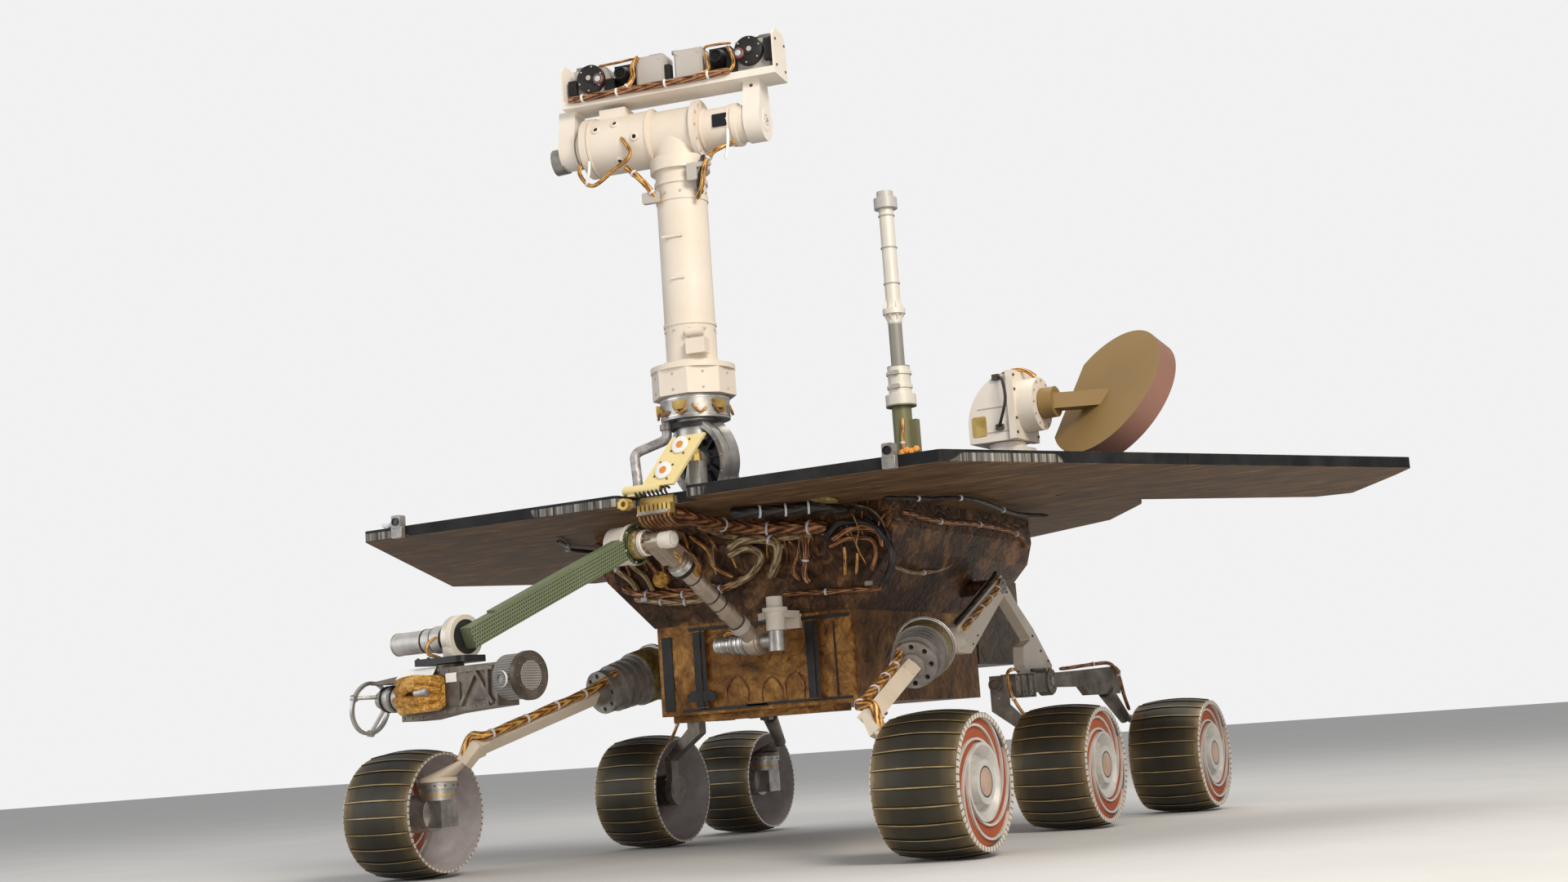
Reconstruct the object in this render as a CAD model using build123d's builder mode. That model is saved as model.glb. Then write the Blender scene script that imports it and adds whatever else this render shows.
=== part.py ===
"""Six-wheeled planetary rover with a camera mast, a flat dish aerial and a folding tool arm.

Millimetres. The front is -Y, port is +X and up is +Z. The ground is z = 0 and the origin
lies on it, below the middle of the rover's whole outline.
"""

import os
from math import asin, atan2, cos, degrees, hypot, pi, radians, sin, sqrt

from build123d import *

os.makedirs("parts", exist_ok=True)

# Wheels
wheel_radius = 125.0
wheel_width = 160.0
rim_radius = 115.0
shell_wall = 4.0
rim_lip = 8.0
cleat_height = 2.0
cleat_width = 2.6
cleat_count = 24
hub_radius = 66.0
hub_back = 50.0
arm_face = 76.0
arm_count = 6
arm_sweep = 150.0
arm_width = 4.0
drum_radius = 37.0
axle_radius = 12.0
running_gap = 0.05
seat_gap = 0.3
joint_gap = 1.0

# Wheelbase, measured from the middle axle, and half tracks
mid_axle_y = 257.7
front_base = 753.0
rear_base = 513.0
front_half_track = 570.0
mid_half_track = 503.0
rear_half_track = 566.0

# Steering units, inside the open cup of each corner wheel
steer_offset = 62.0
steer_drum_radius = 38.0
steer_drum_top = 183.0
steer_drum_height = 34.0
drive_radius = 36.0
cone_base_radius = 33.0
cone_tip_radius = 13.0
cone_rise = 38.0
cone_reach = 56.0
steer_pin_radius = 10.0
steer_pin_length = 12.0

# Rockers, bogies and front struts
rocker_thickness = 24.0
bogie_outset = 25.0
bogie_beam_width = 22.0
bogie_pivot_y = 245.0
bogie_pivot_z = 304.0
bogie_cap_radius = 30.0
strut_width = 31.0
strut_depth = 24.0
actuator_big_radius = 60.0
actuator_small_radius = 45.0
actuator_length = 163.0

# Body
box_half_width = 227.0
box_front = 380.0
box_rear = 221.0
box_bottom = 281.0
box_top = 462.0
shell_half_width = 346.0
shell_rear = 300.0
rear_box_end = 476.0
rear_box_bottom = 354.0
rear_box_top = 541.0
tie_behind = 20.0
tie_spacing = 300.0
tie_hole_radius = 4.0
tie_hole_depth = 16.0
deck_top = 686.0
deck_thickness = 22.0
deck_corner = 10.0
panel_gap = 0.6

# Mast
mast_x = 62.0
mast_ahead = 640.0
mast_turn = 10.7
mast_tube_radius = 49.0
collar_radius = 81.0
collar_bottom = 872.0
collar_height = 60.0
barrel_z = 1394.0
bar_bottom = 1470.0
bar_height = 92.0
bar_depth = 75.0
bar_half_length = 222.0
bar_wall = 4.0
bar_back_height = 50.0
lens_rise = 58.0
head_pin_radius = 14.0

# Dish aerial
dish_radius = 140.0
dish_thickness = 46.0

# Arm
arm_skew = 8.0
shoulder_x = 45.0
shoulder_ahead = 440.0
shoulder_z = 412.0
upper_length = 336.0
upper_rise = 34.2
forearm_length = 459.0
forearm_drop = 21.9
forearm_offset = 64.0
upper_tube_radius = 17.0
beam_height = 38.0
beam_width = 24.0

rocker_x = shell_half_width - 2
bogie_x = rocker_x + bogie_outset
deck_bottom = deck_top - deck_thickness
front_axle_y = mid_axle_y - front_base
rear_axle_y = mid_axle_y + rear_base
box_front_y = mid_axle_y - box_front
box_rear_y = mid_axle_y + box_rear
mast_y = mid_axle_y - mast_ahead
PORT = 1
STARBOARD = -1


def aft(distance):
    """Y of a point this far behind the middle axle, or ahead of it if negative."""
    return mid_axle_y + distance


def save(piece, label):
    """Labels a finished piece and writes it."""
    piece.label = label
    export_step(piece, f"parts/{label}.step")


def save_pair(port_piece, label):
    """Writes a port piece and its mirror image for starboard."""
    save(port_piece, f"{label}_port")
    save(mirror(port_piece, about=Plane.YZ, mode=Mode.PRIVATE), f"{label}_starboard")


def rod(start, end, radius, mode=Mode.ADD):
    """Round rod between two points."""
    line = Vector(*end) - Vector(*start)
    with BuildSketch(Plane(origin=start, z_dir=line)) as section:
        Circle(radius)
    extrude(section.sketch, amount=line.length, mode=mode)


def cone_between(start, end, start_radius, end_radius, mode=Mode.ADD):
    """Round taper between two points."""
    line = Vector(*end) - Vector(*start)
    with BuildSketch(Plane(origin=start, z_dir=line)) as foot:
        Circle(start_radius)
    with BuildSketch(Plane(origin=end, z_dir=line)) as tip:
        Circle(end_radius)
    loft([foot.sketch, tip.sketch], mode=mode)


def bar(start, end, width, height, width_dir, mode=Mode.ADD):
    """Rectangular bar between two points, its width along width_dir."""
    line = Vector(*end) - Vector(*start)
    with BuildSketch(Plane(origin=start, x_dir=width_dir, z_dir=line)) as section:
        Rectangle(width, height)
    extrude(section.sketch, amount=line.length, mode=mode)


def block(low, high, mode=Mode.ADD):
    """Box between its lowest and highest corners."""
    size = Vector(*high) - Vector(*low)
    middle = (Vector(*high) + Vector(*low)) * 0.5
    with BuildSketch(Plane(origin=(middle.X, middle.Y, low[2]))) as section:
        Rectangle(size.X, size.Y)
    extrude(section.sketch, amount=size.Z, mode=mode)


def ring_of(plane, outer, inner, depth, mode=Mode.ADD):
    """Flat ring, or a disc where inner is 0, raised from a plane."""
    with BuildSketch(plane) as section:
        Circle(outer)
        if inner:
            Circle(inner, mode=Mode.SUBTRACT)
    extrude(section.sketch, amount=depth, mode=mode)


# Wheel: crowned shell with cleats, open inboard, closed outboard by curved flexures and a hub.
# Sections below are drawn as (distance outboard of the wheel's middle, radius).


def wheel_section_plane(centre):
    return Plane(origin=centre, x_dir=(1, 0, 0), z_dir=(0, -1, 0))


def flexure_sketch(width):
    """The curved flexures, each one arc from the hub out to the rim lip."""
    inner = hub_radius - 2
    outer = rim_radius - rim_lip + 2
    middle = (inner + outer) / 2
    with BuildSketch() as arms:
        for index in range(arm_count):
            turn = 360 / arm_count * index
            with BuildLine() as arm:
                ThreePointArc(
                    Vector(inner, 0).rotate(Axis.Z, turn),
                    Vector(middle, 0).rotate(Axis.Z, turn + arm_sweep / 2),
                    Vector(outer, 0).rotate(Axis.Z, turn + arm_sweep),
                )
            trace(arm.line, width)
    return arms.sketch


def wheel_parts(centre):
    """A port wheel's metal piece and its foam filling."""
    outboard = Plane(origin=centre, x_dir=(0, 1, 0), z_dir=(1, 0, 0))
    half = wheel_width / 2
    skin = wheel_radius - cleat_height
    cleat_half = half - 3
    cleat_end = rim_radius + 0.6
    arms = flexure_sketch(arm_width)
    with BuildPart() as metal:
        with BuildSketch(wheel_section_plane(centre)) as shell:
            with BuildLine():
                ThreePointArc((-half, rim_radius), (0, skin), (half, rim_radius))
                Line((half, rim_radius), (half, rim_radius - rim_lip))
                Line((half, rim_radius - rim_lip), (half - shell_wall, rim_radius - rim_lip))
                Line((half - shell_wall, rim_radius - rim_lip), (half - shell_wall, rim_radius - shell_wall))
                ThreePointArc(
                    (half - shell_wall, rim_radius - shell_wall),
                    (0, skin - shell_wall),
                    (-half, rim_radius - shell_wall),
                )
                Line((-half, rim_radius - shell_wall), (-half, rim_radius))
            make_face()
        revolve(shell.sketch, axis=Axis(centre, (1, 0, 0)))
        with BuildSketch(wheel_section_plane(centre)) as cleat:
            with BuildLine():
                ThreePointArc((-cleat_half, cleat_end + cleat_height), (0, wheel_radius), (cleat_half, cleat_end + cleat_height))
                Line((cleat_half, cleat_end + cleat_height), (cleat_half, cleat_end - 1))
                ThreePointArc((cleat_half, cleat_end - 1), (0, skin - 1), (-cleat_half, cleat_end - 1))
                Line((-cleat_half, cleat_end - 1), (-cleat_half, cleat_end + cleat_height))
            make_face()
        cleat_turn = degrees(cleat_width / wheel_radius)
        for index in range(cleat_count):
            start = 360 / cleat_count * index - cleat_turn / 2
            turned = cleat.sketch.rotate(Axis(centre, (1, 0, 0)), start)
            revolve(turned, axis=Axis(centre, (1, 0, 0)), revolution_arc=cleat_turn)
        with BuildSketch(wheel_section_plane(centre)) as hub:
            with BuildLine():
                Polyline(
                    (hub_back, 0),
                    (hub_back, hub_radius),
                    (half - 2, hub_radius),
                    (half - 2, hub_radius - 5),
                    (hub_back + 12, drum_radius + 8),
                    (hub_back + 12, drum_radius),
                    (half, drum_radius),
                    (half, 0),
                    close=True,
                )
            make_face()
        revolve(hub.sketch, axis=Axis(centre, (1, 0, 0)))
        extrude(outboard.offset(hub_back) * arms, amount=arm_face - hub_back)
        ring_of(outboard.offset(hub_back), axle_radius + running_gap, 0, 10, mode=Mode.SUBTRACT)
    with BuildPart() as foam:
        ring_of(
            outboard.offset(hub_back + 4),
            rim_radius - rim_lip - seat_gap,
            hub_radius + seat_gap,
            arm_face - hub_back - 8,
        )
        extrude(
            outboard.offset(hub_back) * flexure_sketch(arm_width + 2 * seat_gap),
            amount=arm_face - hub_back,
            mode=Mode.SUBTRACT,
        )
    return metal.part, foam.part


# row: name, Y behind the middle axle, half track
wheel_table = [
    ("front", -front_base, front_half_track),
    ("mid", 0.0, mid_half_track),
    ("rear", rear_base, rear_half_track),
]
for place, behind, half_track in wheel_table:
    wheel, foam = wheel_parts((half_track, aft(behind), wheel_radius))
    save_pair(wheel, f"wheel_{place}")
    save_pair(foam, f"wheel_{place}_foam")


# Steering units: a drum on an upright pin, a bracket and the drive motor in the wheel's cup.
for place, behind, half_track in [row for row in wheel_table if row[0] != "mid"]:
    axle_y = aft(behind)
    steer_x = half_track - steer_offset
    drum_bottom = steer_drum_top - steer_drum_height
    with BuildPart() as steering_unit:
        ring_of(Plane((steer_x, axle_y, drum_bottom)), steer_drum_radius - 4, 0, steer_drum_height)
        ring_of(Plane((steer_x, axle_y, steer_drum_top - 12)), steer_drum_radius, 0, 12)
        ring_of(Plane((steer_x, axle_y, steer_drum_top)), steer_pin_radius, 0, steer_pin_length + joint_gap)
        block(
            (steer_x - 26, axle_y - 26, wheel_radius - 28),
            (steer_x + 24, axle_y + 26, drum_bottom),
        )
        rod(
            (steer_x + 10, axle_y, wheel_radius),
            (half_track + 40, axle_y, wheel_radius),
            drive_radius,
        )
        rod(
            (half_track + 40, axle_y, wheel_radius),
            (half_track + hub_back + 9, axle_y, wheel_radius),
            axle_radius,
        )
    save_pair(steering_unit.part, f"steering_{place}")


def steering_cone(steer_x, axle_y, tip):
    """Fixed cone above a steering drum, leaning to the strut's end, with a bore for the pin."""
    foot_z = steer_drum_top + joint_gap
    ring_of(Plane((steer_x, axle_y, foot_z)), steer_drum_radius, 0, 8)
    with BuildSketch(Plane((steer_x, axle_y, foot_z + 8))) as foot:
        Circle(cone_base_radius)
    with BuildSketch(Plane(tip)) as top:
        Circle(cone_tip_radius)
    loft([foot.sketch, top.sketch])
    ring_of(
        Plane((steer_x, axle_y, foot_z)),
        steer_pin_radius + running_gap,
        0,
        steer_pin_length + 1,
        mode=Mode.SUBTRACT,
    )


# Front strut: square tube from the deployment actuator down to a knee and the steering cone.
front_steer_x = front_half_track - steer_offset
front_tip = (front_steer_x - cone_reach, front_axle_y + 12, steer_drum_top + cone_rise)
knee = Vector(rocker_x + 84, aft(-722), 247.0)
actuator_end = Vector(rocker_x + 16, aft(-394), 341.0)
actuator_way = Vector(0.26, -0.93, -0.25).normalized()
actuator_start = actuator_end - actuator_way * actuator_length
strut_way = (knee - actuator_end).normalized()
strut_face = Vector(0.75, -0.04, 0.66)
neck_length = 20.0
with BuildPart() as front_strut:
    steering_cone(front_steer_x, front_axle_y, front_tip)
    bar(
        (front_tip[0], front_tip[1], front_tip[2] - 6),
        knee + Vector(0, 0, 3),
        strut_width - 4,
        strut_depth,
        (0, 1, 0),
    )
    bar(knee, actuator_end + strut_way * 2, strut_depth, strut_width, strut_face)
    bar(knee - strut_way * 11, knee + strut_way * 9, strut_depth + 6, strut_width + 4, strut_face)
    plate_plane = Plane(
        origin=actuator_end + strut_way * (neck_length + 34),
        x_dir=strut_way,
        z_dir=strut_way.cross(strut_face).cross(strut_way).normalized(),
    )
    with BuildSketch(plate_plane.offset(strut_depth / 2 - 1)) as end_plate:
        SlotOverall(60, strut_width - 8)
    extrude(end_plate.sketch, amount=4)
save_pair(front_strut.part, "front_strut")

# Deployment actuator: drum, ribbed housing and bolted flange on one axis, with a neck for the strut
actuator_plane = Plane(origin=actuator_start, z_dir=actuator_way)
# row: start along the axis, length, radius
actuator_rings = [
    (0.0, 8.0, actuator_big_radius),
    (8.0, 56.0, actuator_big_radius - 4),
    (64.0, 8.0, actuator_big_radius - 8),
    (72.0, 12.0, actuator_small_radius + 2),
    (84.0, 8.0, actuator_small_radius + 6),
    (92.0, 12.0, actuator_small_radius + 1),
    (104.0, 8.0, actuator_small_radius + 5),
    (112.0, 10.0, actuator_small_radius),
    (122.0, 8.0, actuator_small_radius + 4),
    (130.0, 18.0, actuator_small_radius - 4),
    (148.0, 15.0, actuator_small_radius),
    (163.0, neck_length, actuator_small_radius - 20),
]
with BuildPart() as strut_actuator:
    for start, length, radius in actuator_rings:
        ring_of(actuator_plane.offset(start), radius, 0, length)
    with BuildSketch(actuator_plane.offset(actuator_length - 9)) as bolt_pockets:
        with PolarLocations(actuator_small_radius - 10, 8):
            Circle(5)
    extrude(bolt_pockets.sketch, amount=9, mode=Mode.SUBTRACT)
    bar(
        knee,
        actuator_end,
        strut_depth + 2 * seat_gap,
        strut_width + 2 * seat_gap,
        strut_face,
        mode=Mode.SUBTRACT,
    )
save_pair(strut_actuator.part, "strut_actuator")

# Rocker: an A-frame cut from one plate, with a knuckle that carries the actuator on its front foot
rocker_in = rocker_x - rocker_thickness / 2
rocker_out = rocker_x + rocker_thickness / 2
rocker_foot = (rocker_x, aft(-150), 392.0)
# row: distance behind the middle axle, height
rocker_outline = [
    (79, 532),
    (155, 470),
    (231, 420),
    (bogie_pivot_y + 78, 340),
    (bogie_pivot_y + 36, bogie_pivot_z - 16),
    (bogie_pivot_y - 36, bogie_pivot_z - 16),
    (161, 343),
    (166, 381),
    (213, 396),
    (85, 488),
    (-109, 365),
    (-171, 367),
    (-170, 417),
]
with BuildPart() as rocker:
    with BuildSketch(Plane(origin=(rocker_in, mid_axle_y, 0), x_dir=(0, 1, 0), z_dir=(1, 0, 0))) as frame:
        with BuildLine():
            Polyline(*rocker_outline, close=True)
        make_face()
        fillet(frame.vertices(), 4)
    extrude(frame.sketch, amount=rocker_thickness)
    ring_of(actuator_plane.offset(-seat_gap), actuator_small_radius, 0, -12)
    with BuildSketch(actuator_plane.offset(-12)) as knuckle_front:
        Circle(34)
    with BuildSketch(Plane(origin=rocker_foot, z_dir=(0, 1, 0))) as knuckle_back:
        Circle(22)
    loft([knuckle_front.sketch, knuckle_back.sketch])
    pin_start = (rocker_out - 1, aft(bogie_pivot_y), bogie_pivot_z)
    rod(pin_start, (bogie_x + 7, aft(bogie_pivot_y), bogie_pivot_z), 12)
save_pair(rocker.part, "rocker")

# Bogie: a beam on its pivot, dropping to the middle wheel ahead and the rear wheel behind
beam_z = 300.0
beam_front = (bogie_x, aft(-34), beam_z)
mid_face = mid_half_track - wheel_width / 2
leg_x = mid_face - 24
leg_y = -12.0
leg_depth = 28.0
rear_steer_x = rear_half_track - steer_offset
rear_tip = (rear_steer_x - cone_reach, rear_axle_y - 10, steer_drum_top + cone_rise)
hub_half = 11.5
rear_slant = Vector(rear_steer_x - cone_reach - bogie_x, 231, 0).normalized()
rear_side = Vector(rear_slant.Y, -rear_slant.X, 0)
rear_leg_along = 200.0
rear_leg_top = Vector(bogie_x, aft(bogie_pivot_y), 276) + rear_slant * rear_leg_along
# row: distance along the slanted rear arm, height
rear_arm_outline = [(0, 322), (120, 326), (232, 331), (245, 320), (238, 270), (132, 270), (112, 290), (0, 292)]
with BuildPart() as bogie:
    rod(beam_front, (bogie_x, aft(136), beam_z), 14.5)
    rod(beam_front, (bogie_x, aft(-6), beam_z), 11, mode=Mode.SUBTRACT)
    block((bogie_x - 11, aft(28), 276), (bogie_x + 17, aft(138), 318))
    for rib_y in (30.0, 66.0, 102.0, 132.0):
        block((bogie_x - 13, aft(rib_y), 272), (bogie_x + 20, aft(rib_y + 5), 321))
    block((bogie_x - 11, aft(136), 282), (bogie_x + 11, aft(bogie_pivot_y), 322))
    with BuildSketch(Plane(origin=(bogie_x, aft(bogie_pivot_y), 0), x_dir=rear_slant, z_dir=rear_side)) as rear_arm:
        with BuildLine():
            Polyline(*rear_arm_outline, close=True)
        make_face()
    extrude(rear_arm.sketch, amount=bogie_beam_width / 2, both=True)
    ring_of(
        Plane(origin=(bogie_x - hub_half, aft(bogie_pivot_y), bogie_pivot_z), z_dir=(1, 0, 0)),
        bogie_cap_radius,
        0,
        2 * hub_half,
    )
    ring_of(
        Plane(origin=(bogie_x + hub_half, aft(bogie_pivot_y), bogie_pivot_z), z_dir=(1, 0, 0)),
        bogie_cap_radius - 3,
        0,
        4,
    )
    rod(
        (bogie_x - hub_half - 1, aft(bogie_pivot_y), bogie_pivot_z),
        (bogie_x + 8, aft(bogie_pivot_y), bogie_pivot_z),
        12 + running_gap,
        mode=Mode.SUBTRACT,
    )
    with BuildSketch(Plane(origin=(0, aft(leg_y - leg_depth / 2), 0), x_dir=(1, 0, 0), z_dir=(0, -1, 0))) as leg:
        with BuildLine():
            Polyline(
                (bogie_x - 15, beam_z + 18),
                (bogie_x + 16, beam_z + 18),
                (bogie_x + 16, 258),
                (leg_x + 50, 196),
                (leg_x + 50, 108),
                (leg_x + 34, 108),
                (leg_x + 34, 190),
                (bogie_x - 15, 246),
                close=True,
            )
        make_face()
    extrude(leg.sketch, amount=-leg_depth)
    ring_of(Plane(origin=(leg_x + 34, mid_axle_y, wheel_radius), z_dir=(1, 0, 0)), drive_radius - 2, 0, 16)
    steering_cone(rear_steer_x, rear_axle_y, rear_tip)
    cone_between((rear_tip[0], rear_tip[1], rear_tip[2] - 8), rear_leg_top, cone_tip_radius, 18)
save_pair(bogie.part, "bogie")

# Middle wheel drives, bolted to the bogie legs inside the cups
with BuildPart() as mid_drive:
    drive_start = leg_x + 50
    drive_end = mid_half_track + 40
    rod((drive_start, mid_axle_y, wheel_radius), (drive_end, mid_axle_y, wheel_radius), drive_radius - 4)
    for rib in range(3):
        rib_x = drive_start + 10 + 22 * rib
        rod((rib_x, mid_axle_y, wheel_radius), (rib_x + 8, mid_axle_y, wheel_radius), drive_radius)
    rod(
        (drive_end, mid_axle_y, wheel_radius),
        (mid_half_track + hub_back + 9, mid_axle_y, wheel_radius),
        axle_radius,
    )
save_pair(mid_drive.part, "mid_drive")

# Body: a plain lower box and a flared upper shell, with side bosses for the rocker pivots
with BuildPart() as body_box:
    block(
        (-box_half_width, box_front_y, box_bottom),
        (box_half_width, box_rear_y, box_top),
    )
    fillet(body_box.edges().filter_by(Axis.Z), 12)
    for rail_x in (-118.0, 142.0):
        block((rail_x - 14, box_front_y - 9, box_bottom + 12), (rail_x + 14, box_front_y + 1, box_top - 14))
        block((rail_x - 4, box_front_y - 12, box_bottom + 12), (rail_x + 4, box_front_y - 8, box_top - 14))
    block((-box_half_width + 20, box_front_y + 20, box_bottom - 14), (box_half_width - 60, box_front_y + 90, box_bottom + 1))
    with BuildSketch(Plane.XY.offset(box_bottom)) as tie_holes:
        with Locations((0, aft(tie_behind))):
            with GridLocations(tie_spacing, tie_spacing, 2, 2):
                Circle(tie_hole_radius)
    extrude(tie_holes.sketch, amount=tie_hole_depth, mode=Mode.SUBTRACT)
save(body_box.part, "body_box")

# Rear box under the shell's tail: its lower part runs up to the body box, its upper part stands behind
with BuildPart() as rear_box:
    with BuildSketch(Plane(origin=(-box_half_width, mid_axle_y, 0), x_dir=(0, 1, 0), z_dir=(1, 0, 0))) as side:
        with BuildLine():
            Polyline(
                (box_rear, rear_box_bottom),
                (rear_box_end, rear_box_bottom),
                (rear_box_end, rear_box_top),
                (shell_rear + 1, rear_box_top),
                (shell_rear + 1, box_top),
                (box_rear, box_top),
                close=True,
            )
        make_face()
    extrude(side.sketch, amount=2 * box_half_width)
    fillet(rear_box.edges().group_by(Axis.Y)[-1].filter_by(Axis.X, reverse=True), 14)
save(rear_box.part, "rear_box")

# row: height, half width, front Y, rear Y
shell_sections = [
    (box_top, box_half_width, -box_front, shell_rear),
    (566.0, 329.0, -392.0, 296.0),
    (612.0, shell_half_width, -400.0, 288.0),
    (deck_bottom, shell_half_width, -404.0, 280.0),
]
boss_y = aft(80)
boss_z = 509.0
with BuildPart() as body_shell:
    faces = []
    for height, half_width, front, rear in shell_sections:
        with BuildSketch(Plane((0, aft((front + rear) / 2), height))) as section:
            Rectangle(2 * half_width, rear - front)
        faces.append(section.sketch)
    loft(faces, ruled=True)
    for side in (PORT, STARBOARD):
        rod((side * 200, boss_y, boss_z), (side * rocker_in, boss_y, boss_z), 16)
save(body_shell.part, "body_shell")

# Solar deck: a centre plate, two wings and an aft panel, all flush with a seam between them
nose = (632.0, -793.0)
seam_front = (913.0, -305.0)
seam_root = (560.0, -100.0)
seam_knee = (650.0, 140.0)
seam_rear = (628.0, 236.0)
notch_low = -28.0
notch_high = 120.0
notch_depth = 66.0
centre_half = [nose, seam_front, seam_root, seam_knee, seam_rear]
centre_outline = (
    [(notch_high, nose[1])]
    + centre_half
    + [(-x, y) for x, y in reversed(centre_half)]
    + [(notch_low, nose[1]), (notch_low, nose[1] + notch_depth), (notch_high, nose[1] + notch_depth)]
)
# the wing and the aft panel run on under the seam and are trimmed to it
wing_outline = [(893, -340), (1201, 196), (1150, 290), (1000, 544), (920, 536), (640, 140), (560, -90)]
aft_outline = [(620, 226), (624, 244), (458, 500), (170, 700), (-170, 700), (-458, 500), (-624, 244), (-620, 226)]


def panel_sketch(points, height):
    """Rounded panel outline at a height, from points in millimetres behind the middle axle."""
    with BuildSketch(Plane.XY.offset(height)) as panel:
        with BuildLine():
            Polyline(*[(x, aft(y)) for x, y in points], close=True)
        make_face()
        fillet(panel.vertices(), deck_corner)
    return panel.sketch


centre_sketch = panel_sketch(centre_outline, deck_bottom)
seam_sketch = offset(centre_sketch, amount=panel_gap)
for label, points in (("wing", wing_outline), ("aft_panel", aft_outline)):
    with BuildPart() as panel:
        extrude(panel_sketch(points, deck_bottom), amount=deck_thickness)
        extrude(seam_sketch, amount=deck_thickness, mode=Mode.SUBTRACT)
    if label == "wing":
        save_pair(panel.part, label)
    else:
        save(panel.part, label)
with BuildPart() as deck_centre:
    extrude(centre_sketch, amount=deck_thickness)
save(deck_centre.part, "deck_centre")

# Gold connector comb in the deck's front notch, and the hinge lug at the notch's corner
comb_low = notch_low + 12
comb_high = 57.0
comb_teeth = 8
notch_back = nose[1] + notch_depth
with BuildPart() as deck_connectors:
    block((comb_low, aft(notch_back - 6), deck_bottom - 16), (comb_high, aft(notch_back - seat_gap), deck_top - 3))
    block((comb_low, aft(notch_back - 19), deck_bottom - 16), (comb_high, aft(notch_back - 5), deck_bottom - 11))
    pitch = (comb_high - comb_low - 6) / (comb_teeth - 1)
    for tooth in range(comb_teeth):
        tooth_x = comb_low + pitch * tooth
        block((tooth_x, aft(notch_back - 17), deck_bottom - 13), (tooth_x + 6, aft(notch_back - 5), deck_bottom + 4))
    lug = (notch_low + 16, aft(nose[1] - 3), deck_bottom + 3)
    rod(lug, (lug[0], lug[1] + 18, lug[2]), 11)
    block((notch_low + seat_gap, lug[1] + 4, lug[2] - 6), (lug[0], lug[1] + 16, lug[2] + 6))
    rod((lug[0], lug[1] - 1, lug[2]), (lug[0], lug[1] + 19, lug[2]), 5, mode=Mode.SUBTRACT)
save(deck_connectors.part, "deck_connectors")

# Mast pedestal: base plate, tilted drive ring, side legs and the azimuth drum with its bore
mast_pin_radius = 20.0
mast_pin_length = 20.0
drum_top = collar_bottom - joint_gap
drum_bottom_z = 828.0
drive_ring_radius = 78.0
drive_ring_centre = (mast_x + 14, mast_y + 10, 757.0)
drive_axis = (-0.32, -0.93, -0.18)
with BuildPart() as mast_pedestal:
    block((mast_x - 62, mast_y - 30, deck_top), (mast_x + 84, mast_y + 62, deck_top + 8))
    drive_plane = Plane(origin=drive_ring_centre, z_dir=drive_axis)
    ring_of(drive_plane.offset(-16), drive_ring_radius - 4, 0, 22)
    ring_of(drive_plane.offset(6), drive_ring_radius - 6, drive_ring_radius - 14, 20)
    ring_of(drive_plane.offset(18), drive_ring_radius, drive_ring_radius - 12, 9)
    block((mast_x - 120, mast_y - 120, deck_bottom), (mast_x + 140, mast_y + 120, deck_top), mode=Mode.SUBTRACT)
    for leg_x in (mast_x - 40, mast_x + 58):
        bar((leg_x, mast_y + 30, deck_top + 7), (drive_ring_centre[0] + (leg_x - drive_ring_centre[0]) * 0.4, mast_y + 20, 790), 22, 26, (1, 0, 0))
    ring_of(Plane((mast_x, mast_y, drum_bottom_z)), 66, 0, drum_top - drum_bottom_z)
    ring_of(Plane((mast_x, mast_y, drum_bottom_z - 40)), 40, 0, 41)
    ring_of(
        Plane((mast_x, mast_y, drum_top - mast_pin_length - 1)),
        mast_pin_radius + running_gap,
        0,
        mast_pin_length + 1,
        mode=Mode.SUBTRACT,
    )
save(mast_pedestal.part, "mast_pedestal")

# Sloped magnet plate in front of the mast, with two round inserts
plate_foot = (36.0, mast_y - 108, 702.0)
plate_head = (88.0, mast_y - 74, 784.0)
plate_rise = Vector(*plate_head) - Vector(*plate_foot)
plate_across = Vector(1, 0, 0)
plate_normal = plate_across.cross(plate_rise).normalized()
with BuildPart() as magnet_plate:
    with BuildSketch(Plane(origin=plate_foot, x_dir=plate_across, z_dir=plate_normal)) as face:
        with BuildLine():
            Polyline((-36, -4), (36, -4), (36 + 52, 96), (-36 + 52, 96), close=True)
        make_face()
    extrude(face.sketch, amount=3, both=True)
    # row: centre across the plate, centre up the plate
    for across, up in ((10, 26), (38, 76)):
        with BuildSketch(Plane(origin=plate_foot, x_dir=plate_across, z_dir=plate_normal).offset(2.9)) as insert:
            with Locations((across, up)):
                Circle(17)
        extrude(insert.sketch, amount=2.5)
    rod((-40, plate_foot[1] + 2, 697), (40, plate_foot[1] + 2, 697), 9)
    block((-30, plate_foot[1] - 4, deck_top), (-14, plate_foot[1] + 12, 695))
save(magnet_plate.part, "magnet_plate")

# Hose from the azimuth drum down to the deck
hose_radius = 9.5
with BuildPart() as mast_hose:
    with BuildLine() as hose_route:
        FilletPolyline(
            (mast_x - 46, mast_y - 34, drum_bottom_z - seat_gap),
            (mast_x - 46, mast_y - 34, 796),
            (mast_x - 112, mast_y - 50, 776),
            (mast_x - 100, mast_y - 62, deck_top + 34),
            (mast_x - 100, mast_y - 62, deck_top + seat_gap),
            radius=14,
        )
    with BuildSketch(Plane(origin=hose_route.line @ 0, z_dir=hose_route.line % 0)) as hose_section:
        Circle(hose_radius)
    sweep(hose_section.sketch, path=hose_route.line)
save(mast_hose.part, "mast_hose")

# Mast: eight-sided collar, tall tube and the cross tee that holds the head barrel.
# Drawn with the mast on the origin and facing -Y, then turned to where the head looks.
head_place = Location((mast_x, mast_y, 0), (0, 0, mast_turn))
barrel_radius = 56.0
collar_top = collar_bottom + collar_height
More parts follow.
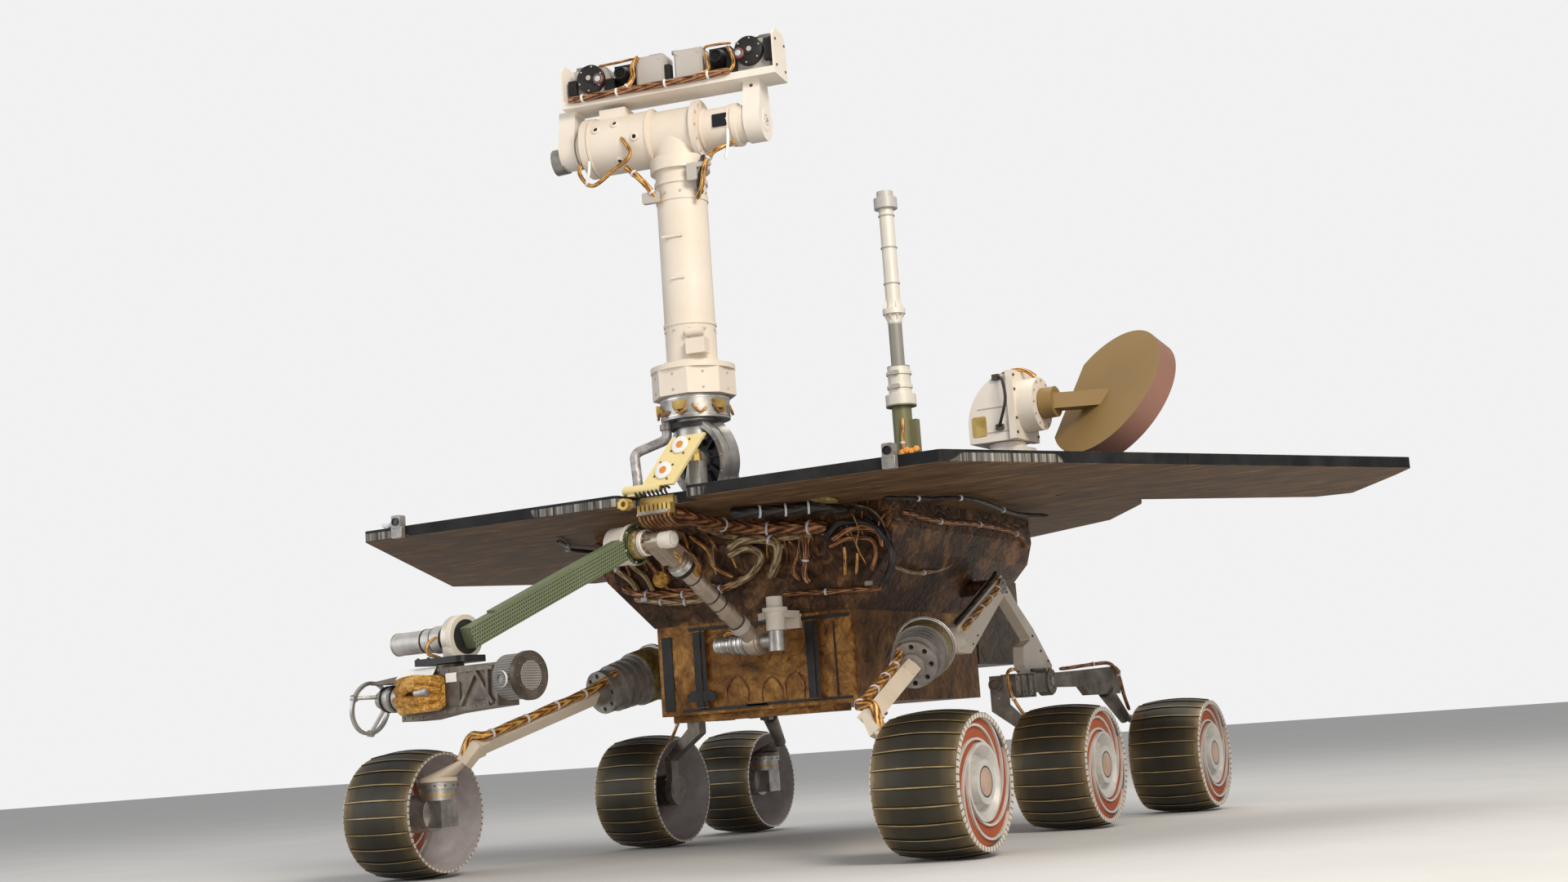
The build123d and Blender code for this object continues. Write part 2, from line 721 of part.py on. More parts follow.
# row: start height, length, radius
tube_rings = [
    (collar_bottom + collar_height - 10, 10.0, collar_radius),
    (collar_top, 8.0, mast_tube_radius + 9),
    (collar_top, barrel_z - collar_top, mast_tube_radius),
    (1010.0, 6.0, mast_tube_radius + 2),
    (1255.0, 5.0, mast_tube_radius + 2),
    (1288.0, 8.0, mast_tube_radius + 3),
    (barrel_z - 78, 26.0, mast_tube_radius + 9),
    (collar_bottom - joint_gap - mast_pin_length, mast_pin_length + joint_gap, mast_pin_radius),
]
# row: start along the barrel, length, radius
barrel_rings = [
    (-203.0, 18.0, 34.0),
    (-186.0, 14.0, barrel_radius + 3),
    (-173.0, 131.0, barrel_radius),
    (-43.0, 88.0, barrel_radius - 5),
    (44.0, 10.0, barrel_radius + 4),
    (53.0, 70.0, 39.0),
    (122.0, 8.0, 42.0),
    (129.0, 17.0, 36.0),
]
pin_reach = 36.0
with BuildPart() as mast:
    with BuildSketch(Plane.XY.offset(collar_bottom)) as facets:
        RegularPolygon(collar_radius, 8, rotation=22.5 - mast_turn)
    extrude(facets.sketch, amount=collar_height - 10)
    for start, length, radius in tube_rings:
        ring_of(Plane((0, 0, start)), radius, 0, length)
    for start, length, radius in barrel_rings:
        rod((start, 0, barrel_z), (start + length, 0, barrel_z), radius)
    rod((barrel_rings[0][0] - pin_reach, 0, barrel_z), (barrel_rings[0][0] + 1, 0, barrel_z), head_pin_radius)
    rod((145, 0, barrel_z), (146 + pin_reach, 0, barrel_z), head_pin_radius)
    block((12, -64, 948), (50, -36, 977))
    rod((12, -54, 991), (46, -54, 991), 8)
    block((16, -50, 976), (42, -40, 988))
    block((-150, -30, barrel_z + 30), (-96, 34, barrel_z + 66))
save(mast.part.moved(head_place), "mast")

# Camera bar: open channel with a floor, a low front lip, a rear wall and full end plates,
# on two swing arms that ride on the barrel's end pins
bar_top = bar_bottom + bar_height
bar_front = -45.0
bar_back = bar_front + bar_depth
lip_height = 14.0
# row: arm's low and high X, disc radius
swing_arms = [(148.0, 182.0, 40.0), (-239.0, -205.0, 36.0)]
with BuildPart() as camera_bar:
    with BuildSketch(Plane(origin=(-bar_half_length, 0, 0), x_dir=(0, 1, 0), z_dir=(1, 0, 0))) as channel:
        with BuildLine():
            Polyline(
                (bar_front, bar_bottom),
                (bar_back, bar_bottom),
                (bar_back, bar_bottom + bar_back_height),
                (bar_back - bar_wall, bar_bottom + bar_back_height),
                (bar_back - bar_wall, bar_bottom + bar_wall),
                (bar_front + bar_wall, bar_bottom + bar_wall),
                (bar_front + bar_wall, bar_bottom + lip_height),
                (bar_front, bar_bottom + lip_height),
                close=True,
            )
        make_face()
    extrude(channel.sketch, amount=2 * bar_half_length)
    for end_x in (-bar_half_length, bar_half_length - bar_wall):
        with BuildSketch(Plane(origin=(end_x, 0, 0), x_dir=(0, 1, 0), z_dir=(1, 0, 0))) as end_plate:
            with BuildLine():
                Polyline(
                    (bar_front, bar_bottom),
                    (bar_back, bar_bottom),
                    (bar_back, bar_top - 16),
                    (bar_back - 14, bar_top),
                    (bar_front + 14, bar_top),
                    (bar_front, bar_top - 16),
                    close=True,
                )
            make_face()
        extrude(end_plate.sketch, amount=bar_wall)
    for gusset_x in (-130.0, -4.0, 122.0):
        with BuildSketch(Plane(origin=(gusset_x, 0, 0), x_dir=(0, 1, 0), z_dir=(1, 0, 0))) as gusset:
            with BuildLine():
                Polyline(
                    (bar_front + 1, bar_bottom + 1),
                    (bar_back - 1, bar_bottom + 1),
                    (bar_back - 1, bar_bottom + bar_back_height - 1),
                    (bar_back - 12, bar_bottom + bar_back_height - 4),
                    (bar_front + 1, bar_bottom + lip_height - 2),
                    close=True,
                )
            make_face()
        extrude(gusset.sketch, amount=4)
    for arm_low, arm_high, disc_radius in swing_arms:
        with BuildSketch(Plane(origin=(arm_low, 0, 0), x_dir=(0, 1, 0), z_dir=(1, 0, 0))) as swing_arm:
            with Locations((0, barrel_z)):
                Circle(disc_radius)
            with BuildLine():
                Polyline(
                    (-disc_radius + 3, barrel_z + 12),
                    (disc_radius - 3, barrel_z + 12),
                    (22, bar_bottom + 1),
                    (-22, bar_bottom + 1),
                    close=True,
                )
            make_face()
        extrude(swing_arm.sketch, amount=arm_high - arm_low)
        if arm_high < 0:
            block((arm_low + 4, -20, bar_bottom - 8), (-bar_half_length + 20, 20, bar_bottom + 1))
        rod(
            (arm_low - 1, 0, barrel_z),
            (arm_high + 1, 0, barrel_z),
            head_pin_radius + running_gap,
            mode=Mode.SUBTRACT,
        )
save(camera_bar.part.moved(head_place), "camera_bar")

# Cameras standing in the channel: filter discs and lenses at the ends, round cones nearer the middle
lens_z = bar_bottom + lens_rise
channel_back = bar_back - bar_wall
floor_z = bar_bottom + bar_wall
with BuildPart() as panorama_cameras:
    for side in (PORT, STARBOARD):
        block((side * 170 - 34, -18, floor_z), (side * 170 + 34, channel_back, lens_z + 24))
        rod((side * 165, -18, lens_z), (side * 165, -30, lens_z), 28)
        rod((side * 147, -30, lens_z - 4), (side * 147, -37, lens_z - 4), 9)
        rod((side * 147, -34, lens_z - 4), (side * 147, -38, lens_z - 4), 6, mode=Mode.SUBTRACT)
        rod((side * 168, -30, lens_z + 2), (side * 168, -33, lens_z + 2), 5)
save(panorama_cameras.part.moved(head_place), "panorama_cameras")
with BuildPart() as navigation_cameras:
    for side in (PORT, STARBOARD):
        block((side * 100 - 22, -6, floor_z), (side * 100 + 22, channel_back, lens_z + 24))
        cone_between((side * 100, -6, lens_z), (side * 100, -34, lens_z), 19, 12)
        cone_between((side * 100, -34.5, lens_z), (side * 100, -20, lens_z), 10, 5, mode=Mode.SUBTRACT)
save(navigation_cameras.part.moved(head_place), "navigation_cameras")
with BuildPart() as camera_electronics:
    for side in (PORT, STARBOARD):
        block((side * 40 - 29, -24, floor_z), (side * 40 + 29, channel_back, lens_z + 27))
        block((side * 40 - 25, -27, floor_z + 6), (side * 40 + 25, -23, lens_z + 22))
save(camera_electronics.part.moved(head_place), "camera_electronics")

# Rod aerial behind the mast
low_gain = (308.0, aft(-245))
# row: start height, length, radius
low_gain_rings = [
    (deck_top, 6.0, 30.0),
    (deck_top + 6, 173.0, 20.0),
    (deck_top + 179, 24.0, 31.0),
    (deck_top + 203, 59.0, 23.0),
    (deck_top + 216, 6.0, 26.0),
    (deck_top + 244, 6.0, 26.0),
    (deck_top + 262, 90.0, 14.0),
    (deck_top + 352, 18.0, 15.0),
    (deck_top + 370, 11.0, 23.0),
    (deck_top + 381, 210.0, 15.0),
    (deck_top + 591, 22.0, 24.0),
    (deck_top + 613, 14.0, 17.0),
]
gusset_count = 8
with BuildPart() as low_gain_aerial:
    for start, length, radius in low_gain_rings:
        ring_of(Plane((*low_gain, start)), radius, 0, length)
    for index in range(gusset_count):
        turn = 360 / gusset_count * index
        with BuildSketch(Plane(origin=(*low_gain, deck_top), x_dir=Vector(1, 0, 0).rotate(Axis.Z, turn), z_dir=Vector(0, -1, 0).rotate(Axis.Z, turn))) as gusset:
            with BuildLine():
                Polyline((12, 351), (12, 408), (22, 381), (22, 370), close=True)
            make_face()
        extrude(gusset.sketch, amount=1.5, both=True)
    block((low_gain[0] + 14, low_gain[1] - 8, deck_top + 5), (low_gain[0] + 34, low_gain[1] + 8, deck_top + 150))
save(low_gain_aerial.part, "low_gain_aerial")

# Dish aerial: turntable on the deck, gimbal housing and the dish on its own axle
dish_base = (533.0, aft(-250))
dish_axis_z = 828.0
gimbal_foot = deck_top + 74
with BuildPart() as dish_pedestal:
    block((dish_base[0] - 62, dish_base[1] - 50, deck_top), (dish_base[0] + 61, dish_base[1] + 50, deck_top + 8))
    with BuildSketch(Plane.XY.offset(deck_top + 8)) as foot:
        with Locations(dish_base):
            Rectangle(110, 84)
    with BuildSketch(Plane.XY.offset(gimbal_foot - 12)) as head:
        with Locations(dish_base):
            Rectangle(88, 72)
    loft([foot.sketch, head.sketch])
    ring_of(Plane((*dish_base, gimbal_foot - 12)), 36, 0, 12 - joint_gap)
    ring_of(Plane((*dish_base, gimbal_foot - 24)), 12 + running_gap, 0, 24, mode=Mode.SUBTRACT)
save(dish_pedestal.part, "dish_pedestal")

with BuildPart() as dish_gimbal:
    ring_of(Plane((*dish_base, gimbal_foot - 20)), 12, 0, 21)
    with BuildSketch(Plane(origin=(0, dish_base[1] - 50, 0), x_dir=(1, 0, 0), z_dir=(0, -1, 0))) as housing:
        with BuildLine():
            Polyline(
                (dish_base[0] - 58, gimbal_foot + 30),
                (dish_base[0] - 58, gimbal_foot),
                (dish_base[0] + 34, gimbal_foot),
                (dish_base[0] + 34, gimbal_foot + 128),
                (dish_base[0] + 14, gimbal_foot + 130),
            )
            ThreePointArc(
                (dish_base[0] + 14, gimbal_foot + 130),
                (dish_base[0] - 34, gimbal_foot + 98),
                (dish_base[0] - 58, gimbal_foot + 30),
            )
        make_face()
    extrude(housing.sketch, amount=-100)
    block((dish_base[0] + 30, dish_base[1] - 58, gimbal_foot), (dish_base[0] + 44, dish_base[1] + 58, gimbal_foot + 134))
    axle = (dish_base[0] + 43, dish_base[1], dish_axis_z)
    rod(axle, (axle[0] + 36, axle[1], axle[2]), 52)
    rod((axle[0] + 36, axle[1], axle[2]), (axle[0] + 62, axle[1], axle[2]), 15)
save(dish_gimbal.part, "dish_gimbal")

# Dish: thick disc with a flat chord where the swing bracket holds it
dish_centre = (730.0, aft(-215), 840.0)
dish_facing = (-0.42, -0.74, 0.52)
with BuildPart() as dish:
    dish_plane = Plane(origin=dish_centre, x_dir=Vector(0, 0, 1).cross(Vector(*dish_facing)), z_dir=dish_facing)
    with BuildSketch(dish_plane.offset(-dish_thickness)) as disc:
        Circle(dish_radius)
        with Locations((-dish_radius - 10, 0)):
            Rectangle(80, 2 * dish_radius, mode=Mode.SUBTRACT)
    extrude(disc.sketch, amount=dish_thickness)
    bracket_start = (axle[0] + 38, axle[1], dish_axis_z)
    rod(bracket_start, (axle[0] + 66, axle[1], dish_axis_z), 30)
    rod(bracket_start, (axle[0] + 62 + 1, axle[1], dish_axis_z), 15 + running_gap, mode=Mode.SUBTRACT)
    bar((axle[0] + 50, axle[1], dish_axis_z), (dish_centre[0], dish_centre[1] + 14, dish_centre[2] - 12), 30, 44, (0, 0, 1))
    rod(bracket_start, (axle[0] + 62 + 1, axle[1], dish_axis_z), 15 + running_gap, mode=Mode.SUBTRACT)
save(dish.part, "dish")

# Tool arm. Drawn in its own plane with the elevation axis along X through the origin,
# reaching out to -Y, then turned and placed at the shoulder.
arm_place = Location((shoulder_x, aft(-shoulder_ahead), 0), (0, 0, -arm_skew))
azimuth_x = 52.0
azimuth_radius = 16.0
azimuth_low = 430.0
pin_radius = 9.0
elbow_way = Vector(0, -cos(radians(upper_rise)), sin(radians(upper_rise)))
fore_way = Vector(0, -cos(radians(forearm_drop)), -sin(radians(forearm_drop)))
shoulder_point = Vector(0, 0, shoulder_z)
elbow_point = shoulder_point + elbow_way * upper_length
wrist_point = elbow_point + fore_way * forearm_length
forearm_x = -forearm_offset
shoulder_world = Vector(shoulder_x, aft(-shoulder_ahead), 0) + Vector(azimuth_x, 0, 0).rotate(Axis.Z, -arm_skew)


def cross_rods(point, rows):
    """Rods along X through a point of the arm's plane. row: low X, high X, radius."""
    for low, high, radius in rows:
        rod((low, point.Y, point.Z), (high, point.Y, point.Z), radius)


def cross_bore(point, low, high, radius):
    """Running bore along X through a point of the arm's plane."""
    rod((low, point.Y, point.Z), (high, point.Y, point.Z), radius + running_gap, mode=Mode.SUBTRACT)


# Fixed azimuth housing and its bracket on the body's front
with BuildPart() as arm_bracket:
    # row: bottom, height, radius
    for bottom, height, radius in (
        (azimuth_low, 44.0, azimuth_radius + 3),
        (azimuth_low + 36, 8.0, azimuth_radius + 9),
        (azimuth_low + 44, 22.0, azimuth_radius),
    ):
        ring_of(Plane((shoulder_world.X, shoulder_world.Y, bottom)), radius, 0, height)
    with BuildSketch(Plane.XY.offset(azimuth_low + 24)) as arm_seat:
        with BuildLine():
            Polyline(
                (shoulder_world.X - 58, box_front_y - 8),
                (shoulder_world.X + 22, box_front_y - 8),
                (shoulder_world.X + 18, shoulder_world.Y - 6),
                (shoulder_world.X - 14, shoulder_world.Y - 6),
                (shoulder_world.X - 58, box_front_y - 34),
                close=True,
            )
        make_face()
    extrude(arm_seat.sketch, amount=14)
    for low_x, low_z in ((-58, 24), (-10, 4)):
        block(
            (shoulder_world.X + low_x, box_front_y - 12, azimuth_low + low_z),
            (shoulder_world.X + 22, box_front_y, box_top),
        )
    ring_of(
        Plane((shoulder_world.X, shoulder_world.Y, azimuth_low - 1)),
        pin_radius + running_gap,
        0,
        16,
        mode=Mode.SUBTRACT,
    )
save(arm_bracket.part, "arm_bracket")

# Shoulder: turns below the azimuth housing and carries the elevation axle and its motor
with BuildPart() as arm_shoulder:
    ring_of(Plane((azimuth_x, 0, shoulder_z - 2)), pin_radius, 0, azimuth_low + 14 - shoulder_z + 2)
    ring_of(Plane((azimuth_x, 0, shoulder_z - 22)), azimuth_radius + 1, 0, azimuth_low - joint_gap - shoulder_z + 22)
    cross_rods(
        shoulder_point,
        [
            (20, azimuth_x + 10, 15),
            (-18, 22, pin_radius),
            (-28, -17, 25),
            (-46, -27, 22),
            (-50, -45, 24),
            (-92, -49, 17),
            (-98, -91, 14),
        ],
    )
save(arm_shoulder.part.moved(arm_place), "arm_shoulder")

# Upper arm: hub on the elevation axle, round tube with clamps and the elbow's motor side
elbow_foot = elbow_point - elbow_way * 54
with BuildPart() as upper_arm:
    cross_rods(shoulder_point, [(-16, 19, 24), (-10, 13, 27)])
    rod(shoulder_point, elbow_point, upper_tube_radius)
    # row: distance below the elbow, length, radius
    for below, length, radius in ((86.0, 24.0, 20.5), (150.0, 7.0, 19.0), (236.0, 7.0, 19.0)):
        rod(elbow_point - elbow_way * below, elbow_point - elbow_way * (below - length), radius)
    cross_bore(shoulder_point, -17, 20, pin_radius)
    bar(elbow_foot, elbow_point, 40, 32, (1, 0, 0))
    cross_rods(
        elbow_point,
        [(-51, -34, 26), (-35, -22, 23), (-22, 12, 17), (-20, 36, 15), (35, 41, 13), (-92, -50, 10)],
    )
save(upper_arm.part.moved(arm_place), "upper_arm")

# Forearm: elbow housing with its flange, a perforated beam with a tray on top, and the wrist axle
housing_side = 104.0
beam_start = elbow_point + fore_way * 24
with BuildPart() as forearm:
    cross_rods(elbow_point, [(-housing_side, -61, 36), (-62, -52, 39), (-housing_side - 5, -housing_side + 1, 30)])
    beam_centre = Vector(forearm_x, 0, 0)
    bar(beam_centre + beam_start, beam_centre + wrist_point + fore_way * 10, beam_width, beam_height, (1, 0, 0))
    tray_rise = fore_way.cross(Vector(1, 0, 0)).normalized() * (beam_height / 2 + 2)
    if tray_rise.Z < 0:
        tray_rise = tray_rise * -1
    bar(
        beam_centre + elbow_point + fore_way * 40 + tray_rise,
        beam_centre + wrist_point - fore_way * 60 + tray_rise,
        beam_width - 4,
        5,
        (1, 0, 0),
    )
    cross_bore(elbow_point, -93, -51, 10)
    cross_rods(wrist_point, [(forearm_x - 36, forearm_x - 11, 10)])
save(forearm.part.moved(arm_place), "forearm")

# Wrist: round housing that drops to the turret plate, with a stepped motor to starboard
turret_x = -95.0
turret_y = wrist_point.Y - 24
plate_z = wrist_point.Z - 45
disc_high = forearm_x - beam_width / 2 - joint_gap
disc_low = disc_high - 25
disc_radius = 38.0
with BuildPart() as wrist:
    with BuildSketch(Plane(origin=(disc_low, wrist_point.Y, wrist_point.Z), x_dir=(0, 1, 0), z_dir=(1, 0, 0))) as disc:
        Circle(disc_radius)
        with BuildLine():
            Polyline(
                (-disc_radius + 1, 6),
                (-32, plate_z + 6 - wrist_point.Z),
                (16, plate_z + 6 - wrist_point.Z),
                (disc_radius - 8, -12),
                (0, 0),
                close=True,
            )
        make_face()
    extrude(disc.sketch, amount=disc_high - disc_low)
    cross_bore(wrist_point, disc_low - 1, disc_high + 1, 10)
    # row: start below the disc, length, radius
    for start, length, radius in (
        (0.0, 22.0, 21.0),
        (22.0, 22.0, 24.0),
        (44.0, 24.0, 21.5),
        (68.0, 4.0, 19.0),
        (72.0, 74.0, 20.0),
    ):
        cross_rods(wrist_point, [(disc_low - start - length, disc_low - start + 0.5, radius)])
    with BuildSketch(Plane((turret_x, turret_y, plate_z))) as turret_plate:
        RectangleRounded(124, 66, 16)
    extrude(turret_plate.sketch, amount=11)
    ring_of(Plane((turret_x, turret_y, plate_z - 14)), 12, 0, 20)
save(wrist.part.moved(arm_place), "wrist")

# Turret: a hub and a shaped tub that carries the tools round it
hub_top = plate_z - joint_gap
tub_front = turret_y - 26
tub_depth = 50.0
# row: X, distance below the hub's top
tub_outline = [
    (-268, 18),
    (-124, 6),
    (41, 6),
    (41, 78),
    (-31, 81),
    (-90, 84),
    (-150, 91),
    (-192, 91),
    (-192, 23),
    (-268, 23),
]
with BuildPart() as turret:
    ring_of(Plane((turret_x, turret_y, hub_top - 64)), 24, 0, 64)
    with BuildSketch(Plane(origin=(0, tub_front, hub_top), x_dir=(1, 0, 0), z_dir=(0, -1, 0))) as tub:
        with BuildLine():
            Polyline(*[(x, -below) for x, below in tub_outline], close=True)
        make_face()
    extrude(tub.sketch, amount=-tub_depth)
    # ribbed front of the sensor bracket, with a V-shaped stiffener
    for start, end in (((-44, -14), (36, -14)), ((-44, -72), (-6, -18)), ((-6, -18), (32, -72)), ((22, -10), (22, -76))):
        bar(
            (start[0], tub_front - 2, hub_top + start[1]),
            (end[0], tub_front - 2, hub_top + end[1]),
            6,
            6,
            (0, 1, 0),
        )
    ring_of(Plane((turret_x, turret_y, hub_top - 20)), 12 + running_gap, 0, 21, mode=Mode.SUBTRACT)
save(turret.part.moved(arm_place), "turret")

# Foil-wrapped electronics, bulging from the tub's front
with BuildPart() as foil_wrap:
    with BuildSketch(Plane(origin=(0, tub_front - seat_gap, hub_top - 47), x_dir=(1, 0, 0), z_dir=(0, 0, 1))) as bulge:
        with BuildLine():
            Line((-188, 0), (-82, 0))
            ThreePointArc((-82, 0), (-88, -16), (-104, -24))
            Line((-104, -24), (-160, -26))
            ThreePointArc((-160, -26), (-182, -18), (-188, 0))
        make_face()
    extrude(bulge.sketch, amount=30, both=True)
    ends = foil_wrap.edges().group_by(Axis.Z)
    chamfer(ends[0] + ends[-1], 7)
save(foil_wrap.part.moved(arm_place), "foil_wrap")

# Grinder: round body and a contact ring on three arms with ball pads
with BuildPart() as grinder:
    grind = (turret_x - 183, turret_y - 18, hub_top - 62)
    body_y = turret_y - 4
    body_z = hub_top - 49
    for low, high, radius in ((-254, -192.3, 22), (-268, -253, 15), (-236, -228, 24)):
        rod((low, body_y, body_z), (high, body_y, body_z), radius)
    ring_plane = Plane(origin=grind, x_dir=(0, 1, 0), z_dir=(-1, -0.08, 0.12))
    ring_of(ring_plane, 47, 41, 6)
    for turn in (85, 205, 325):
        out_y = cos(radians(turn))
        out_z = sin(radians(turn))
        pad_back, pad_mid, pad_front, pad_tip = [
            ring_plane.from_local_coords(Vector(44 * out_y, 44 * out_z, height)) for height in (-2, 3, 8, 11)
        ]
        rod((-258, body_y + 12 * out_y, body_z - 12 * out_z), pad_mid, 3.5)
        rod(pad_back, pad_front, 6)
        cone_between(pad_front, pad_tip, 6, 3)
save(grinder.part.moved(arm_place), "grinder")

# Sensor head: perforated drum with a round window boss
with BuildPart() as sensor_head:
    drum_z = hub_top - 32
    for low, high, radius in ((41.3, 88, 38), (84, 92, 40)):
        rod((low, turret_y + 2, drum_z), (high, turret_y + 2, drum_z), radius)
    rod((66, turret_y, drum_z - 4), (66, turret_y - 44, drum_z - 4), 14)
    rod((66, turret_y - 45, drum_z - 4), (66, turret_y - 39, drum_z - 4), 7, mode=Mode.SUBTRACT)
save(sensor_head.part.moved(arm_place), "sensor_head")
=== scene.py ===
import math
import random

import bpy
from mathutils import Matrix, Vector


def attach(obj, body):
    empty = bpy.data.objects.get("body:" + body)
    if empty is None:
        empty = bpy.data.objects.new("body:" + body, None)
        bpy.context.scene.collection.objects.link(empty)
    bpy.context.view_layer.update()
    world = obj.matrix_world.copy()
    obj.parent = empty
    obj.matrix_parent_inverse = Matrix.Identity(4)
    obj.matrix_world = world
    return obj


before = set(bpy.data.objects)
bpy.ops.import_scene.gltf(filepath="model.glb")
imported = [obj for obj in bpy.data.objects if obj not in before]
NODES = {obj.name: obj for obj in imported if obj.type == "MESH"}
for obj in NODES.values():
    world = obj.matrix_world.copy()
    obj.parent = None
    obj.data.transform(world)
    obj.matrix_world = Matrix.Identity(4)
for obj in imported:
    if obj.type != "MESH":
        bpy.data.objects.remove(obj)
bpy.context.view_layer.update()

random.seed(7)

# Places in millimetres in the part's frame, and the angles and counts that go with them
MID = 257.7
MAST = (62.0, MID - 640.0)
ROD = (308, -245)
MAST_TURN = math.radians(10.7)
BARREL_Z = 1394.0
ARM_PLACE = (45.0, MID - 440.0)
ARM_SKEW = math.radians(-8.0)
DISH_CENTRE = (730.0, MID - 215.0, 840.0)
DISH_FACING = (-0.42, -0.74, 0.52)
# row: place, behind the middle, half track
WHEELS = [("front", -753.0, 570.0), ("mid", 0.0, 503.0), ("rear", 513.0, 566.0)]
WHEEL_AXLE_Z = 125.0
CLEATS = 24
RIM_DOTS = 60
DECK_TOP = 685.5
DECK_FOOT = 664.5
DECK_MIDDLE = 673.0
BOX_FRONT_Y, TAIL_Y = -380, 476.3
TUBE_RISE = math.radians(34.2)
FORE_DROP = math.radians(21.9)
SIDES = (("port", 1), ("starboard", -1))

# Directions: of the part, of the turned head and of the arm
UP = Vector((0, 0, 1))
ACROSS = Vector((1, 0, 0))
AHEAD = Vector((0, -1, 0))
HEAD_SIDE = Vector((math.cos(MAST_TURN), math.sin(MAST_TURN), 0))
HEAD_AHEAD = Vector((math.sin(MAST_TURN), -math.cos(MAST_TURN), 0))
ARM_SIDE = Vector((math.cos(ARM_SKEW), math.sin(ARM_SKEW), 0))
ARM_AHEAD = Vector((math.sin(ARM_SKEW), -math.cos(ARM_SKEW), 0))


def mm(*values):
    return Vector(values) / 1000.0


# Materials: small helpers that wire nodes, then one function per finish


class Shader:
    """A material's node tree with one principled shader."""

    def __init__(self, name, rough=0.5, metal=0.0, colour=(0.5, 0.5, 0.5)):
        self.mat = bpy.data.materials.new(name)
        self.mat.use_nodes = True
        self.tree = self.mat.node_tree
        self.bsdf = self.tree.nodes["Principled BSDF"]
        self.bsdf.inputs["Roughness"].default_value = rough
        self.bsdf.inputs["Metallic"].default_value = metal
        self.bsdf.inputs["Base Color"].default_value = (*colour, 1)
        self.coords = self.tree.nodes.new("ShaderNodeTexCoord").outputs["Object"]

    def node(self, kind, **settings):
        made = self.tree.nodes.new(kind)
        for key, value in settings.items():
            setattr(made, key, value)
        return made

    def link(self, source, target):
        self.tree.links.new(source, target)

    def measure(self, way):
        """Distance along a direction, from the part's origin."""
        made = self.node("ShaderNodeVectorMath", operation="DOT_PRODUCT")
        self.link(self.coords, made.inputs[0])
        made.inputs[1].default_value = Vector(way).normalized()
        return made.outputs["Value"]

    def math(self, operation, *values):
        made = self.node("ShaderNodeMath", operation=operation)
        for index, value in enumerate(values):
            if isinstance(value, (int, float)):
                made.inputs[index].default_value = value
            else:
                self.link(value, made.inputs[index])
        return made.outputs[0]

    def plus(self, first, second):
        return self.math("ADD", first, second)

    def minus(self, first, second):
        return self.math("SUBTRACT", first, second)

    def times(self, first, second):
        return self.math("MULTIPLY", first, second)

    def over(self, value, limit):
        return self.math("GREATER_THAN", value, limit)

    def under(self, value, limit):
        return self.math("LESS_THAN", value, limit)

    def off(self, value, middle):
        """How far a value is from a middle one, to either side."""
        return self.math("ABSOLUTE", self.minus(value, middle))

    def axis(self, index, source=None):
        split = self.node("ShaderNodeSeparateXYZ")
        self.link(source or self.coords, split.inputs[0])
        return split.outputs[index]

    def scaled(self, scale, turn=(0, 0, 0)):
        made = self.node("ShaderNodeMapping")
        self.link(self.coords, made.inputs["Vector"])
        made.inputs["Scale"].default_value = scale
        made.inputs["Rotation"].default_value = turn
        return made.outputs[0]

    def noise(self, scale, detail=4.0, rough=0.55, warp=0.0, source=None):
        made = self.node("ShaderNodeTexNoise")
        self.link(source or self.coords, made.inputs["Vector"])
        made.inputs["Scale"].default_value = scale
        made.inputs["Detail"].default_value = detail
        made.inputs["Roughness"].default_value = rough
        made.inputs["Distortion"].default_value = warp
        return made.outputs["Fac"]

    def cell_edges(self, scale, source):
        """Distance to the nearest edge of a pattern of cells."""
        made = self.node("ShaderNodeTexVoronoi", feature="DISTANCE_TO_EDGE")
        self.link(source, made.inputs["Vector"])
        made.inputs["Scale"].default_value = scale
        return made.outputs["Distance"]

    def ramp(self, source, stops):
        made = self.node("ShaderNodeValToRGB")
        self.link(source, made.inputs[0])
        steps = made.color_ramp.elements
        while len(steps) < len(stops):
            steps.new(0.5)
        for step, (place, colour) in zip(steps, stops):
            step.position = place
            value = colour if isinstance(colour, tuple) else (colour,) * 3
            step.color = (*value, 1)
        return made.outputs[0]

    def mix(self, factor, first, second):
        made = self.node("ShaderNodeMix", data_type="RGBA")
        for slot, value in ((0, factor), (6, first), (7, second)):
            if isinstance(value, (int, float)):
                made.inputs[slot].default_value = value
            elif isinstance(value, tuple):
                made.inputs[slot].default_value = (*value, 1)
            else:
                self.link(value, made.inputs[slot])
        return made.outputs[2]

    def colour(self, source):
        self.link(source, self.bsdf.inputs["Base Color"])

    def rough(self, source, low, high):
        made = self.node("ShaderNodeMapRange")
        self.link(source, made.inputs[0])
        made.inputs["To Min"].default_value = low
        made.inputs["To Max"].default_value = high
        self.link(made.outputs[0], self.bsdf.inputs["Roughness"])

    def bump(self, source, distance, strength=0.6):
        made = self.node("ShaderNodeBump")
        made.inputs["Distance"].default_value = distance
        made.inputs["Strength"].default_value = strength
        self.link(source, made.inputs["Height"])
        self.link(made.outputs[0], self.bsdf.inputs["Normal"])


def metal_finish(name, low, high, metal=0.85, rough=(0.28, 0.5), scale=30.0, brushed=(1, 1, 1)):
    """Machined or anodised metal: two near tones in soft patches, with fine scratches."""
    shader = Shader(name, metal=metal)
    patches = shader.noise(scale, 5.0, 0.6)
    shader.colour(shader.ramp(patches, [(0.3, low), (0.7, high)]))
    grain = shader.noise(220.0, 3.0, 0.6, source=shader.scaled(brushed))
    shader.rough(grain, *rough)
    shader.bump(grain, 0.0004, 0.35)
    return shader.mat


